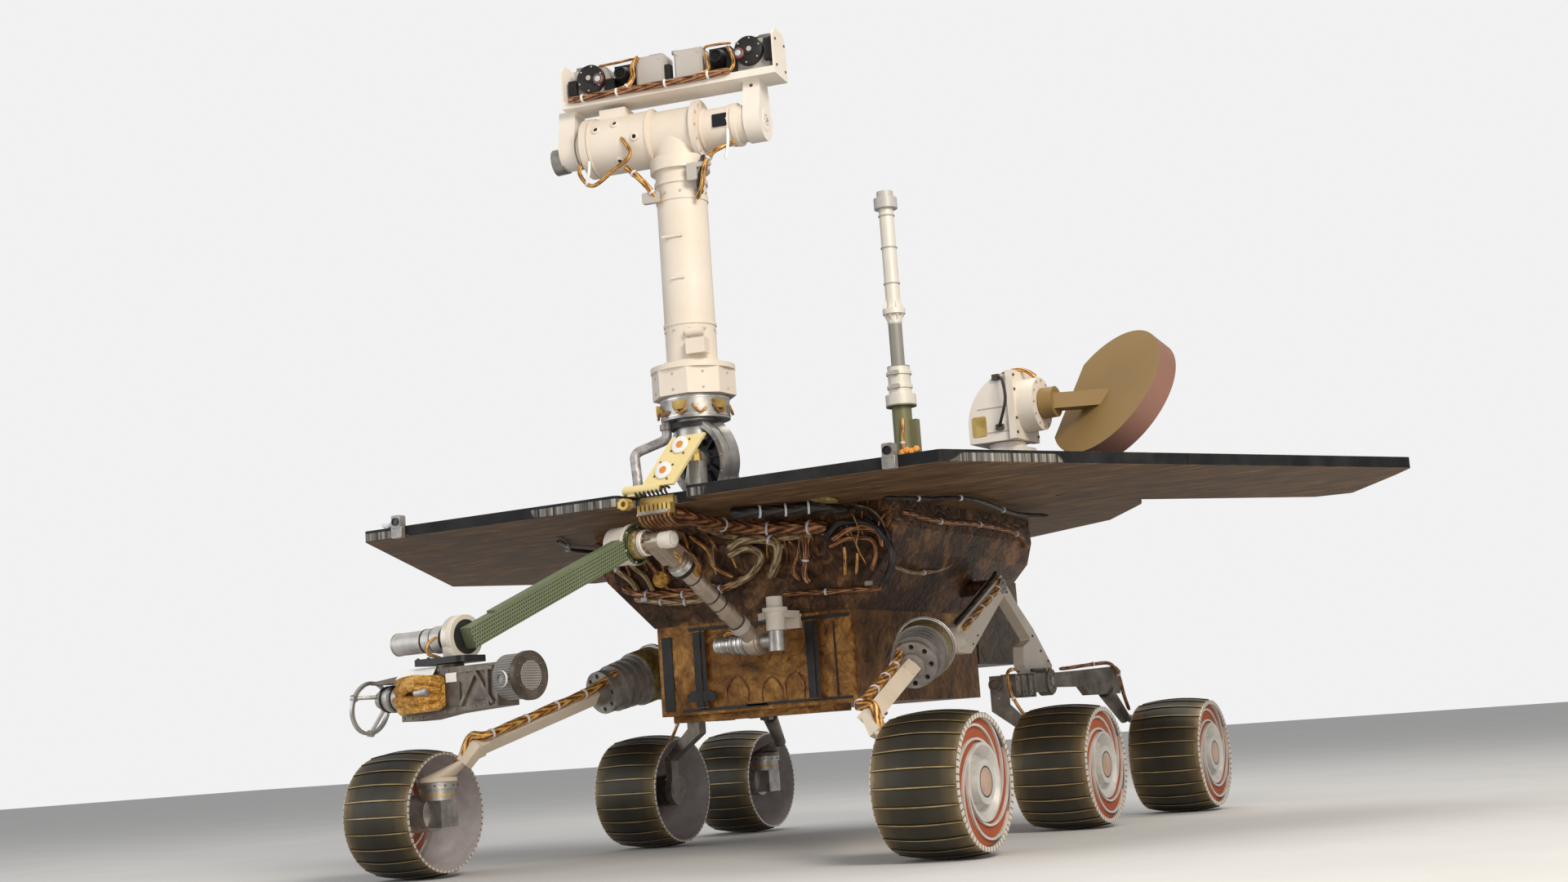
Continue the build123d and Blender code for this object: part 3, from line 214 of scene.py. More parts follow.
def paint_finish(name, base, dust, rough=(0.42, 0.6), chips=None):
    """Painted metal with faint dust, an uneven coat and, where asked for, chipped spots."""
    shader = Shader(name)
    clouds = shader.noise(7.0, 6.0, 0.6)
    tone = shader.ramp(clouds, [(0.35, base), (0.75, dust)])
    if chips:
        spots = shader.noise(46.0, 8.0, 0.7)
        mask = shader.ramp(spots, [(0.66, 0.0), (0.7, 1.0)])
        tone = shader.mix(mask, tone, chips)
    shader.colour(tone)
    peel = shader.noise(160.0, 2.0, 0.5)
    shader.rough(peel, *rough)
    shader.bump(peel, 0.0003, 0.25)
    return shader.mat


def foil_finish(name, dark, middle, bright, metal=0.5, size=9.0, grain=(1, 1, 1), crease=0.006):
    """Crinkled metallised film: painted patches of shade and painted highlights, with fine creases, which
    grain draws out into streaks.
    """
    shader = Shader(name, metal=metal)
    broad = shader.noise(size, 7.0, 0.66, warp=0.9)
    fine = shader.noise(size * 5.0, 6.0, 0.7, warp=0.5, source=shader.scaled(grain))
    shade = shader.plus(shader.times(broad, 0.6), shader.times(fine, 0.4))
    # Painted shade and painted highlights: the dark and bright tones stand in for light falling on the
    # crinkles
    shader.colour(shader.ramp(shade, [(0.36, dark), (0.5, middle), (0.64, bright)]))
    shader.rough(fine, 0.25, 0.6)
    fold = shader.cell_edges(size * 4.5, shader.scaled(grain))
    edge = shader.times(shader.math("MINIMUM", fold, 0.16), 3.0)
    shader.bump(shader.plus(shader.times(fine, 1.6), edge), crease, 0.8)
    return shader.mat


def cable_finish(name, tones, band, rough=(0.3, 0.5), metal=0.4):
    """Wrapped harness: twisted strands round the cable and darker wraps along it."""
    shader = Shader(name, metal=metal)
    flat = shader.tree.nodes.new("ShaderNodeTexCoord").outputs["UV"]
    around = shader.axis(0, flat)
    along = shader.axis(1, flat)
    twist = shader.plus(shader.times(around, 3.0), shader.times(along, 22.0))
    wrap = shader.math("SINE", shader.times(twist, math.tau))
    patches = shader.noise(55.0, 6.0, 0.7)
    level = shader.plus(shader.times(wrap, 0.16), patches)
    shader.colour(shader.ramp(level, [(0.3, tones[0]), (0.5, tones[1]), (0.68, tones[2])]))
    seam = shader.math("FRACT", shader.times(along, band))
    shader.rough(patches, *rough)
    shader.bump(shader.plus(level, shader.times(shader.over(seam, 0.9), 0.4)), 0.002, 0.8)
    return shader.mat


def banded_finish(name, bands, rough=0.45, metal=0.1):
    """Paint that changes with height, with a little dust. bands: (height in metres, colour)."""
    shader = Shader(name, metal=metal, rough=rough)
    height = shader.axis(2)
    tone = shader.ramp(
        shader.noise(9.0, 5.0), [(0.3, bands[0][1]), (0.8, tuple(0.8 * c for c in bands[0][1]))]
    )
    for start, colour in bands[1:]:
        dusty = shader.ramp(shader.noise(9.0, 5.0), [(0.3, colour), (0.8, tuple(0.84 * c for c in colour))])
        tone = shader.mix(shader.over(height, start), tone, dusty)
    shader.colour(tone)
    shader.bump(shader.noise(160.0, 2.0, 0.5), 0.0003, 0.25)
    return shader.mat


def pierced_finish(name, base, dust, hole, along, across, pitch, size, faces=None):
    """Painted sheet with staggered rows of small dark holes. along and across are the rows' directions.

    faces: a direction, a point's measure along it and a half width, for holes beyond that width alone.
    """
    shader = Shader(name)
    tone = shader.ramp(shader.noise(7.0, 6.0, 0.6), [(0.35, base), (0.75, dust)])
    steps = []
    for way in (along, across):
        steps.append(shader.times(shader.measure(way), 1 / pitch))
    row = shader.times(shader.math("MODULO", shader.math("FLOOR", steps[1]), 2.0), 0.5)
    offsets = []
    for step in (shader.plus(steps[0], row), steps[1]):
        part = shader.minus(shader.math("FRACT", step), 0.5)
        offsets.append(shader.times(part, part))
    mask = shader.under(shader.plus(*offsets), size * size)
    if faces:
        beside = shader.off(shader.measure(faces[0]), faces[1])
        mask = shader.times(mask, shader.over(beside, faces[2]))
    shader.colour(shader.mix(mask, tone, hole))
    shader.rough(shader.noise(160.0, 2.0, 0.5), 0.45, 0.6)
    shader.bump(shader.times(mask, -1.0), 0.0008, 0.5)
    return shader.mat


def wheel_finish(half_track, behind, side):
    """Dark tread with bronze cleats and rims, painted shade at the cleats' feet, a pale cup inside, bright
    flexures and a copper hub cap.
    """
    cup_radius, cap_radius, cap_edge_radius, rim_radius = 0.121, 0.0235, 0.0265, 0.1055
    face_across, rim_across = 0.045, 0.0785
    shader = Shader("wheel_skin", metal=0.75)
    x = shader.times(shader.axis(0), float(side))
    across = shader.minus(x, half_track / 1000.0)
    back = shader.minus(shader.axis(1), (MID + behind) / 1000.0)
    rise = shader.minus(shader.axis(2), WHEEL_AXLE_Z / 1000)
    radius = shader.math("SQRT", shader.plus(shader.times(back, back), shader.times(rise, rise)))
    edge = shader.times(shader.math("ABSOLUTE", across), 12.5)
    wear = shader.noise(26.0, 6.0, 0.65)
    uneven = shader.times(shader.minus(wear, 0.5), 0.25)
    tread = shader.ramp(
        shader.plus(edge, uneven),
        [
            (0.0, (0.036, 0.032, 0.024)), (0.6, (0.055, 0.046, 0.03)), (0.86, (0.13, 0.095, 0.048)),
            (1.0, (0.3, 0.22, 0.12)),
        ],
    )
    angle = shader.math("ARCTAN2", back, rise)
    ridge = shader.math("FRACT", shader.times(shader.plus(angle, math.pi), CLEATS / math.tau))
    from_cleat = shader.minus(0.5, shader.off(ridge, 0.5))
    # Painted shade: a near-black band on each side of every cleat, where its foot meets the tread
    cleat_root_shade = shader.under(from_cleat, 0.085)
    cleat = shader.under(from_cleat, 0.036)
    tread = shader.mix(shader.times(cleat_root_shade, 0.8), tread, (0.02, 0.016, 0.011))
    bronze = shader.ramp(wear, [(0.3, (0.24, 0.16, 0.07)), (0.7, (0.5, 0.36, 0.17))])
    tread = shader.mix(cleat, tread, bronze)
    silver = shader.ramp(wear, [(0.3, (0.46, 0.44, 0.41)), (0.7, (0.68, 0.65, 0.6))])
    cup = shader.ramp(wear, [(0.35, (0.62, 0.58, 0.58)), (0.7, (0.82, 0.78, 0.8))])
    bulge = shader.times(shader.times(across, across), 1.25)
    inside = shader.under(radius, shader.minus(cup_radius, bulge))
    shader.link(shader.ramp(inside, [(0.0, 0.6), (1.0, 0.25)]), shader.bsdf.inputs["Metallic"])
    outboard = shader.over(across, face_across)
    copper = shader.ramp(wear, [(0.3, (0.42, 0.27, 0.19)), (0.7, (0.6, 0.42, 0.31))])
    silver = shader.mix(shader.under(radius, cap_edge_radius), silver, (0.05, 0.04, 0.035))
    silver = shader.mix(shader.under(radius, cap_radius), silver, copper)
    tone = shader.mix(inside, tread, shader.mix(outboard, cup, silver))
    dots = shader.math("FRACT", shader.times(shader.plus(angle, math.pi), RIM_DOTS / math.tau))
    dots = shader.under(shader.off(dots, 0.5), 0.13)
    rim = shader.mix(dots, (0.7, 0.64, 0.55), (0.2, 0.16, 0.12))
    at_edge = shader.over(shader.math("ABSOLUTE", across), rim_across)
    at_rim = shader.times(at_edge, shader.over(radius, rim_radius))
    tone = shader.mix(at_rim, tone, rim)
    shader.colour(tone)
    scratch = shader.noise(90.0, 5.0, 0.7, source=shader.scaled((1, 6, 6)))
    shader.rough(scratch, 0.3, 0.55)
    shader.bump(scratch, 0.0006, 0.4)
    return shader.mat


def deck_finish():
    """Solar panels on top, black painted edges with bare scraped patches, and streaked laminate below."""
    shader = Shader("solar_deck", rough=0.4)
    shader.bsdf.inputs["Specular IOR Level"].default_value = 0.25
    height = shader.axis(2)
    top = shader.over(height, DECK_TOP / 1000)
    under = shader.under(height, DECK_FOOT / 1000)
    cell = shader.node("ShaderNodeTexBrick", offset=0.0)
    shader.link(shader.coords, cell.inputs["Vector"])
    for setting, value in (
        ("Color1", (0.012, 0.016, 0.035, 1)), ("Color2", (0.018, 0.022, 0.048, 1)),
        ("Mortar", (0.16, 0.17, 0.18, 1)), ("Scale", 1.0), ("Mortar Size", 0.0012),
        ("Brick Width", 0.062), ("Row Height", 0.041),
    ):
        cell.inputs[setting].default_value = value
    streak = shader.noise(7.0, 8.0, 0.68, warp=1.2, source=shader.scaled((1.0, 5.0, 1.0), (0, 0, 0.5)))
    wood = shader.ramp(
        streak, [(0.3, (0.03, 0.018, 0.009)), (0.5, (0.12, 0.066, 0.03)), (0.72, (0.3, 0.175, 0.08))]
    )
    black = shader.ramp(
        shader.noise(18.0, 5.0), [(0.4, (0.006, 0.006, 0.007)), (0.8, (0.025, 0.024, 0.022))]
    )
    lines = shader.noise(1.0, 3.0, 0.7, source=shader.scaled((130, 130, 3)))
    scraped = shader.ramp(
        lines, [(0.38, (0.02, 0.018, 0.016)), (0.52, (0.16, 0.145, 0.13)), (0.66, (0.42, 0.39, 0.35))]
    )
    patch = shader.ramp(shader.noise(2.6, 1.0), [(0.57, 0.0), (0.575, 1.0)])
    inner = shader.under(shader.off(height, DECK_MIDDLE / 1000), 0.0075)
    edge = shader.mix(shader.times(patch, inner), black, scraped)
    tone = shader.mix(top, edge, cell.outputs["Color"])
    shader.colour(shader.mix(under, tone, wood))
    shader.rough(streak, 0.5, 0.75)
    return shader.mat


def wrist_finish():
    """Cream housing by the beam, polished motor beyond it, and a black turret plate below."""
    housing_edge, plate_top = -0.037, 0.3975
    shader = Shader("wrist_skin", metal=0.4)
    sideways = shader.minus(shader.measure(ARM_SIDE), BEAM_MIDDLE)
    housing = shader.over(sideways, housing_edge)
    plate = shader.under(shader.axis(2), plate_top)
    patches = shader.noise(30.0, 5.0, 0.6)
    polished = shader.ramp(patches, [(0.3, (0.42, 0.4, 0.37)), (0.7, (0.68, 0.66, 0.62))])
    cream = shader.ramp(patches, [(0.3, (0.74, 0.68, 0.58)), (0.7, (0.66, 0.59, 0.48))])
    black = shader.ramp(patches, [(0.3, (0.012, 0.011, 0.01)), (0.7, (0.03, 0.027, 0.024))])
    shader.colour(shader.mix(plate, shader.mix(housing, polished, cream), black))
    ring = shader.math("FRACT", shader.times(sideways, 160.0))
    shader.bump(shader.over(ring, 0.86), 0.0004, 0.5)
    shader.rough(patches, 0.28, 0.45)
    return shader.mat


def dish_finish():
    """Tan aperture face, mauve-brown edge band."""
    shader = Shader("dish_skin", rough=0.6)
    facing = Vector(DISH_FACING).normalized()
    centre = mm(*DISH_CENTRE)
    along = shader.node("ShaderNodeVectorMath", operation="DOT_PRODUCT")
    shader.link(shader.coords, along.inputs[0])
    along.inputs[1].default_value = facing
    depth = shader.minus(along.outputs["Value"], centre.dot(facing))
    face = shader.over(depth, -0.0008)
    grain = shader.noise(5.0, 5.0, 0.5)
    tan = shader.ramp(grain, [(0.3, (0.245, 0.15, 0.046)), (0.75, (0.29, 0.18, 0.06))])
    rim = shader.ramp(grain, [(0.3, (0.21, 0.1, 0.07)), (0.75, (0.27, 0.135, 0.095))])
    shader.colour(shader.mix(face, rim, tan))
    shader.bump(shader.noise(260.0, 2.0), 0.0002, 0.2)
    return shader.mat


SILVER = metal_finish("machined_silver", (0.3, 0.28, 0.26), (0.6, 0.57, 0.53))
GREY_METAL = metal_finish(
    "grey_metal", (0.2, 0.18, 0.165), (0.42, 0.39, 0.36), metal=0.6, rough=(0.35, 0.55)
)
STEEL = metal_finish("dark_steel", (0.045, 0.037, 0.03), (0.16, 0.125, 0.095), metal=0.6)
BOGIE_METAL = metal_finish(
    "bogie_metal", (0.1, 0.085, 0.07), (0.28, 0.24, 0.2), metal=0.6, rough=(0.35, 0.55)
)
BLACK_METAL = metal_finish(
    "black_anodised", (0.008, 0.008, 0.008), (0.03, 0.027, 0.025), metal=0.3, rough=(0.4, 0.6)
)
BRIGHT = metal_finish("bright_ring", (0.6, 0.58, 0.54), (0.85, 0.82, 0.77), metal=0.9, rough=(0.2, 0.35))
BRASS = metal_finish("brass_fitting", (0.42, 0.27, 0.07), (0.78, 0.56, 0.2), metal=0.85)
ARM_TUBE = metal_finish(
    "arm_tube", (0.36, 0.28, 0.21), (0.66, 0.56, 0.46), metal=0.7, scale=7.0, brushed=(4, 1, 1)
)
CREAM = paint_finish("cream_paint", (0.74, 0.64, 0.51), (0.6, 0.49, 0.37), chips=(0.4, 0.33, 0.26))
ROCKER_PAINT = paint_finish("rocker_paint", (0.7, 0.63, 0.54), (0.54, 0.46, 0.37), chips=(0.25, 0.2, 0.16))
WHITE = paint_finish("white_paint", (0.8, 0.74, 0.66), (0.72, 0.63, 0.52))
MAST_PAINT = paint_finish("mast_paint", (0.78, 0.7, 0.6), (0.7, 0.6, 0.49))
COVER_GREY = paint_finish("cover_grey", (0.5, 0.46, 0.42), (0.43, 0.39, 0.35))
YELLOW = paint_finish("yellow_plate", (0.84, 0.7, 0.36), (0.76, 0.58, 0.24))
PLAIN_WHITE = paint_finish("plain_white", (0.85, 0.84, 0.82), (0.8, 0.78, 0.74))
ORANGE = paint_finish("orange_insert", (0.72, 0.28, 0.04), (0.6, 0.2, 0.03))
TIE = paint_finish("cable_tie", (0.72, 0.72, 0.76), (0.55, 0.57, 0.66))
RED = paint_finish("red_ring", (0.3, 0.02, 0.02), (0.2, 0.015, 0.015))
FOAM = paint_finish("foam_filling", (0.37, 0.085, 0.028), (0.24, 0.045, 0.016), rough=(0.75, 0.92))
SHELL_FOIL = foil_finish(
    "shell_foil", (0.012, 0.006, 0.003), (0.08, 0.036, 0.015), (0.34, 0.17, 0.065), size=9.0, metal=0.55,
    crease=0.0035,
)
BOX_FOIL = foil_finish(
    "box_foil", (0.04, 0.016, 0.005), (0.24, 0.105, 0.025), (0.55, 0.29, 0.08), size=7.0, metal=0.6,
    crease=0.004,
)
PANEL = foil_finish(
    "olive_panel", (0.03, 0.018, 0.008), (0.1, 0.06, 0.024), (0.2, 0.13, 0.055), size=4.0, metal=0.3,
    grain=(1, 1, 2),
)
GOLD_FOIL = foil_finish(
    "gold_wrap", (0.14, 0.045, 0.008), (0.5, 0.24, 0.04), (0.9, 0.58, 0.18), size=26.0, metal=0.65,
    crease=0.003,
)
OLIVE_FOIL = foil_finish(
    "olive_wrap", (0.08, 0.055, 0.015), (0.28, 0.2, 0.06), (0.55, 0.43, 0.17), size=24.0, metal=0.5,
    crease=0.003,
)
GOLD_CABLE = cable_finish("gold_cable", ((0.1, 0.03, 0.006), (0.45, 0.2, 0.04), (0.85, 0.5, 0.16)), 70.0)
BROWN_CABLE = cable_finish(
    "brown_cable", ((0.05, 0.018, 0.008), (0.24, 0.09, 0.035), (0.5, 0.26, 0.12)), 40.0
)
TAN_CABLE = cable_finish("tan_cable", ((0.12, 0.075, 0.03), (0.33, 0.23, 0.12), (0.5, 0.38, 0.22)), 30.0)
BLACK_CABLE = cable_finish(
    "black_cable", ((0.006, 0.005, 0.005), (0.014, 0.012, 0.011), (0.05, 0.04, 0.035)), 24.0, metal=0.1
)
HOSE_WRAP = cable_finish("hose_wrap", ((0.2, 0.18, 0.17), (0.4, 0.37, 0.36), (0.62, 0.6, 0.58)), 60.0)
DECK = deck_finish()
DISH = dish_finish()
FORE_WAY = ARM_AHEAD * math.cos(FORE_DROP) - Vector((0, 0, math.sin(FORE_DROP)))
FORE_RISE = FORE_WAY.cross(ARM_SIDE)
BEAM_MIDDLE = ARM_SIDE.dot(mm(*ARM_PLACE, 0)) - 0.064
GREEN = pierced_finish(
    "arm_green", (0.125, 0.15, 0.08), (0.165, 0.19, 0.105), (0.022, 0.028, 0.014), FORE_WAY, FORE_RISE,
    0.0062, 0.27, (ARM_SIDE, BEAM_MIDDLE, 0.0115),
)
MESH_TONES = ((0.2, 0.185, 0.165), (0.31, 0.29, 0.265), (0.04, 0.037, 0.035))
MESH_GREY = pierced_finish("drum_mesh", *MESH_TONES, ARM_SIDE, UP, 0.0042, 0.3)
MESH_FACE = pierced_finish("drum_face", *MESH_TONES, ARM_AHEAD, UP, 0.0042, 0.3)
TURRET_SHEET = metal_finish(
    "turret_sheet", (0.085, 0.07, 0.056), (0.22, 0.18, 0.145), metal=0.6, rough=(0.35, 0.55)
)
WRIST = wrist_finish()
ROD_PAINT = banded_finish(
    "rod_paint",
    [
        (0.0, (0.2, 0.19, 0.09)), (0.868, (0.78, 0.74, 0.64)), (0.946, (0.3, 0.29, 0.25)),
        (1.036, (0.8, 0.75, 0.66)), (1.276, (0.55, 0.53, 0.5)),
    ],
)
GLASS = metal_finish("lens_glass", (0.5, 0.52, 0.58), (0.68, 0.7, 0.74), metal=0.1, rough=(0.04, 0.09))
DARK_GLASS = metal_finish(
    "dark_window", (0.004, 0.004, 0.005), (0.012, 0.012, 0.015), metal=0.0, rough=(0.08, 0.16)
)


# A slot for each material, unless a call names another; add looks it up but gives it to no piece
SLOTS = (
    ("silver", (SILVER, GREY_METAL, BRIGHT, COVER_GREY, MESH_FACE)),
    ("dark_metal", (STEEL, BLACK_METAL)),
    ("white_paint", (WHITE, MAST_PAINT, PLAIN_WHITE, GLASS, TIE)),
    ("gold_metal", (BRASS, GOLD_CABLE, BROWN_CABLE, TAN_CABLE, BLACK_CABLE)),
    ("foil", (BOX_FOIL, GOLD_FOIL, OLIVE_FOIL)),
    ("solar_black", (DARK_GLASS,)),
    ("foam", (ORANGE, RED)),
)
SLOT_OF = {material: slot for slot, materials in SLOTS for material in materials}


def dress(node, material):
    NODES[node].data.materials.clear()
    NODES[node].data.materials.append(material)


for side, sign in SIDES:
    for place, behind, half_track in WHEELS:
        dress(f"wheel_{place}_{side}", wheel_finish(half_track, behind, sign))
        dress(f"wheel_{place}_foam_{side}", FOAM)
    for place in ("front", "rear"):
        dress(f"steering_{place}_{side}", SILVER)
    dress(f"front_strut_{side}", CREAM)
    dress(f"strut_actuator_{side}", GREY_METAL)
    dress(f"rocker_{side}", ROCKER_PAINT)
    dress(f"bogie_{side}", BOGIE_METAL)
    dress(f"mid_drive_{side}", STEEL)
    dress(f"wing_{side}", DECK)
for node, material in (
    ("body_box", BOX_FOIL), ("body_shell", SHELL_FOIL), ("rear_box", PANEL), ("deck_connectors", BRASS),
    ("mast_hose", HOSE_WRAP), ("deck_centre", DECK), ("aft_panel", DECK), ("mast_pedestal", SILVER),
    ("magnet_plate", YELLOW), ("mast", MAST_PAINT), ("camera_bar", WHITE),
    ("panorama_cameras", COVER_GREY), ("navigation_cameras", BLACK_METAL),
    ("camera_electronics", COVER_GREY), ("low_gain_aerial", ROD_PAINT), ("dish_pedestal", WHITE),
    ("dish_gimbal", WHITE), ("dish", DISH), ("arm_bracket", WHITE), ("arm_shoulder", SILVER),
    ("upper_arm", ARM_TUBE), ("forearm", GREEN), ("wrist", WRIST), ("turret", TURRET_SHEET),
    ("foil_wrap", GOLD_FOIL), ("grinder", SILVER), ("sensor_head", MESH_GREY),
):
    dress(node, material)

# Places: points in the part's frame, in the turned head's frame and in the arm's frame


def at(x, behind, z):
    return mm(x, MID + behind, z)


def beside(sign):
    """Places on one side, with x measured from the middle outward."""

    def place(x, behind, z):
        return at(sign * x, behind, z)

    return place


def turned_place(origin, angle, x, y, z):
    cos, sin = math.cos(angle), math.sin(angle)
    return mm(origin[0] + x * cos - y * sin, origin[1] + x * sin + y * cos, z)


def head(x, y, z):
    return turned_place(MAST, MAST_TURN, x, y, z)


def arm(x, y, z):
    return turned_place(ARM_PLACE, ARM_SKEW, x, y, z)


def head_way(x, y, z):
    return (head(x, y, z) - head(0, 0, 0)).normalized()


def arm_way(x, y, z):
    return (arm(x, y, z) - arm(0, 0, 0)).normalized()


def by_mast(x, y, z):
    """A place measured from the mast's axis, along the part's own directions."""
    return mm(MAST[0] + x, MAST[1] + y, z)


def by_rod(x, y, z):
    """A place measured from the rod aerial's axis."""
    return at(ROD[0] + x, ROD[1] + y, z)


# Mesh helpers: every piece below is one mesh that rides on a body


def add(name, body, mesh, material, slot=None, crease=38.0):
    """Adds a finished mesh as a piece of its own. crease: degrees from which an edge is sharp."""
    piece = bpy.data.objects.new(name, mesh)
    bpy.context.collection.objects.link(piece)
    mesh.materials.append(material)
    for face in mesh.polygons:
        face.use_smooth = True
    mesh.set_sharp_from_angle(angle=math.radians(crease))
    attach(piece, body)
    slot or SLOT_OF[material]


def joined(name, parts):
    """One mesh from (points, faces) lists."""
    points, faces = [], []
    for part_points, part_faces in parts:
        base = len(points)
        points.extend(part_points)
        faces.extend([tuple(base + index for index in face) for face in part_faces])
    mesh = bpy.data.meshes.new(name)
    mesh.from_pydata(points, [], faces)
    mesh.validate()
    return mesh


def cross_pair(axis):
    axis = Vector(axis).normalized()
    guide = UP if abs(axis.z) < 0.9 else ACROSS
    first = axis.cross(guide).normalized()
    return first, axis.cross(first).normalized()


def spokes(axis, count, start=0.0):
    """Directions evenly round an axis."""
    first, second = cross_pair(axis)
    turns = [math.tau * index / count + start for index in range(count)]
    return [first * math.cos(turn) + second * math.sin(turn) for turn in turns]


def closed_tube(rows, sides):
    """Faces of a closed tube, from its first ring of points to its last."""
    faces = []
    for row in range(rows - 1):
        for index in range(sides):
            step = (index + 1) % sides
            low, high = row * sides, (row + 1) * sides
            faces.append((low + index, low + step, high + step, high + index))
    faces.append(tuple(range(sides))[::-1])
    faces.append(tuple(range((rows - 1) * sides, rows * sides)))
    return faces


def lathe(centre, axis, profile, sides=28):
    """Turned shape about an axis. profile: (millimetres along the axis, radius) from end to end."""
    centre, axis = Vector(centre), Vector(axis).normalized()
    ring = spokes(axis, sides)
    points = []
    for along, radius in profile:
        for spoke in ring:
            points.append(centre + axis * along / 1000 + spoke * max(radius, 0.02) / 1000)
    return points, closed_tube(len(profile), sides)


def bolt_head(centre, axis, radius):
    """Low hexagon head with a domed middle."""
    return lathe(
        centre, axis,
        [(-0.5, radius), (radius * 0.5, radius), (radius * 0.75, radius * 0.7), (radius * 0.85, 0)], 6,
    )


def bolt_circle(centre, axis, circle, count, radius, start=0.0):
    """Bolt heads evenly round a circle."""
    centre = Vector(centre)
    return [bolt_head(centre + spoke * circle / 1000, axis, radius) for spoke in spokes(axis, count, start)]


def slab(centre, right, up, outline, depth, edge=0.8):
    """Plate with broken edges, drawn as an outline in millimetres and raised by depth along right x up."""
    centre = Vector(centre)
    right = Vector(right).normalized()
    facing = right.cross(Vector(up)).normalized()
    up = facing.cross(right).normalized()
    middle = Vector((sum(x for x, _ in outline), sum(y for _, y in outline))) / len(outline)
    points = []
    for lift, shrink in ((0.0, 0.0), (depth - edge, 0.0), (depth, edge)):
        for x, y in outline:
            away = Vector((x, y)) - middle
            inset = away * (1 - shrink / max(away.length, 0.1)) + middle
            points.append(centre + (right * inset.x + up * inset.y + facing * lift) / 1000)
    return points, closed_tube(3, len(outline))


def upright(place, right, rows):
    """Plates that stand upright. row: x, y, z, outline, depth."""
    return [slab(place(x, y, z), right, UP, outline, depth) for x, y, z, outline, depth in rows]


def box_outline(width, height, corner=1.5):
    half_w, half_h = width / 2, height / 2
    points = []
    for x, y, start in (
        (half_w, half_h, 0), (-half_w, half_h, 90), (-half_w, -half_h, 180), (half_w, -half_h, 270)
    ):
        cx = x - math.copysign(corner, x)
        cy = y - math.copysign(corner, y)
        for turn in (start, start + 45, start + 90):
            points.append((
                cx + corner * math.cos(math.radians(turn)), cy + corner * math.sin(math.radians(turn))
            ))
    return points


EASE_STEPS = 7


def eased(points):
    """Smooth run through given points."""
    ends = [points[0] * 2 - points[1], *points, points[-1] * 2 - points[-2]]
    run = []
    for index in range(1, len(ends) - 2):
        a, b, c, d = ends[index - 1 : index + 3]
        for step in range(EASE_STEPS):
            t = step / EASE_STEPS
            run.append(
                0.5 * (
                    (2 * b)
                    + (c - a) * t
                    + (2 * a - 5 * b + 4 * c - d) * t * t
                    + (3 * b - a - 3 * c + d) * t**3
                )
            )
    run.append(points[-1])
    return run


def cable_mesh(name, points, radius, lobes, sides):
    """Closed cable along a smooth run. lobes gives a bundle its separate strands, which twist along it."""
    run = eased(points)
    count = len(run)
    rows, uvs = [], []
    way = (run[1] - run[0]).normalized()
    first, _ = cross_pair(way)
    travelled = 0.0
    for index, spot in enumerate(run):
        ahead = (run[min(index + 1, count - 1)] - run[max(index - 1, 0)]).normalized()
        first = (first - ahead * first.dot(ahead)).normalized()
        second = ahead.cross(first)
        if index:
            travelled += (spot - run[index - 1]).length
        close = min(1.0, 0.72 + 0.28 * min(index, count - 1 - index))
        for side in range(sides):
            turn = math.tau * side / sides
            swell = 1.0
            if lobes:
                swell += 0.11 * math.cos(lobes * turn + travelled * 60.0)
            rows.append(
                spot + (first * math.cos(turn) + second * math.sin(turn)) * radius * swell * close / 1000
            )
            uvs.append((side / sides, travelled))
    mesh = bpy.data.meshes.new(name)
    mesh.from_pydata(rows, [], closed_tube(count, sides))
    layer = mesh.uv_layers.new(name="UVMap")
    for loop in mesh.loops:
        u, v = uvs[loop.vertex_index]
        layer.data[loop.index].uv = (u * 2 if u < 0.5 else (1 - u) * 2, v)
    return mesh, run


def cable(name, body, points, radius, material=GOLD_CABLE, lobes=0, ties=(), tie_material=TIE, slot=None):
    """Cable or bundle with bands tied round it. lobes: strands of a bundle. ties: shares of the way."""
    mesh, run = cable_mesh(name, points, radius, lobes, 20 if lobes else 12)
    add(name, body, mesh, material, slot, 60)
    bands = []
    for share in ties:
        index = max(1, min(len(run) - 2, int(share * (len(run) - 1))))
        way = run[index + 1] - run[index - 1]
        wide = radius * 1.12 + 0.6
        bands.append(lathe(run[index], way, [(-2.2, radius), (-2.0, wide), (2.0, wide), (2.2, radius)], 14))
    if bands:
        add(name + "_ties", body, joined(name + "_ties", bands), tie_material, "white_paint")


def cables(body, place, rows, prefix="", suffix=""):
    """Cables of one body. row: name, radius, material, lobes, ties, points for place."""
    for name, radius, material, lobes, ties, points in rows:
        run = [place(*point) for point in points]
        cable(prefix + name + suffix, body, run, radius, material, lobes, ties)


def fitting(name, body, parts, material, slot=None):
    """One piece from several parts."""
    add(name, body, joined(name, parts), material, slot)


def plates(name, body, material, place, right, rows):
    """One piece from plates that stand upright."""
    fitting(name, body, upright(place, right, rows), material)


def turned(name, body, material, centre, axis, profile, sides):
    """One piece from one turned shape."""
    fitting(name, body, [lathe(centre, axis, profile, sides)], material)


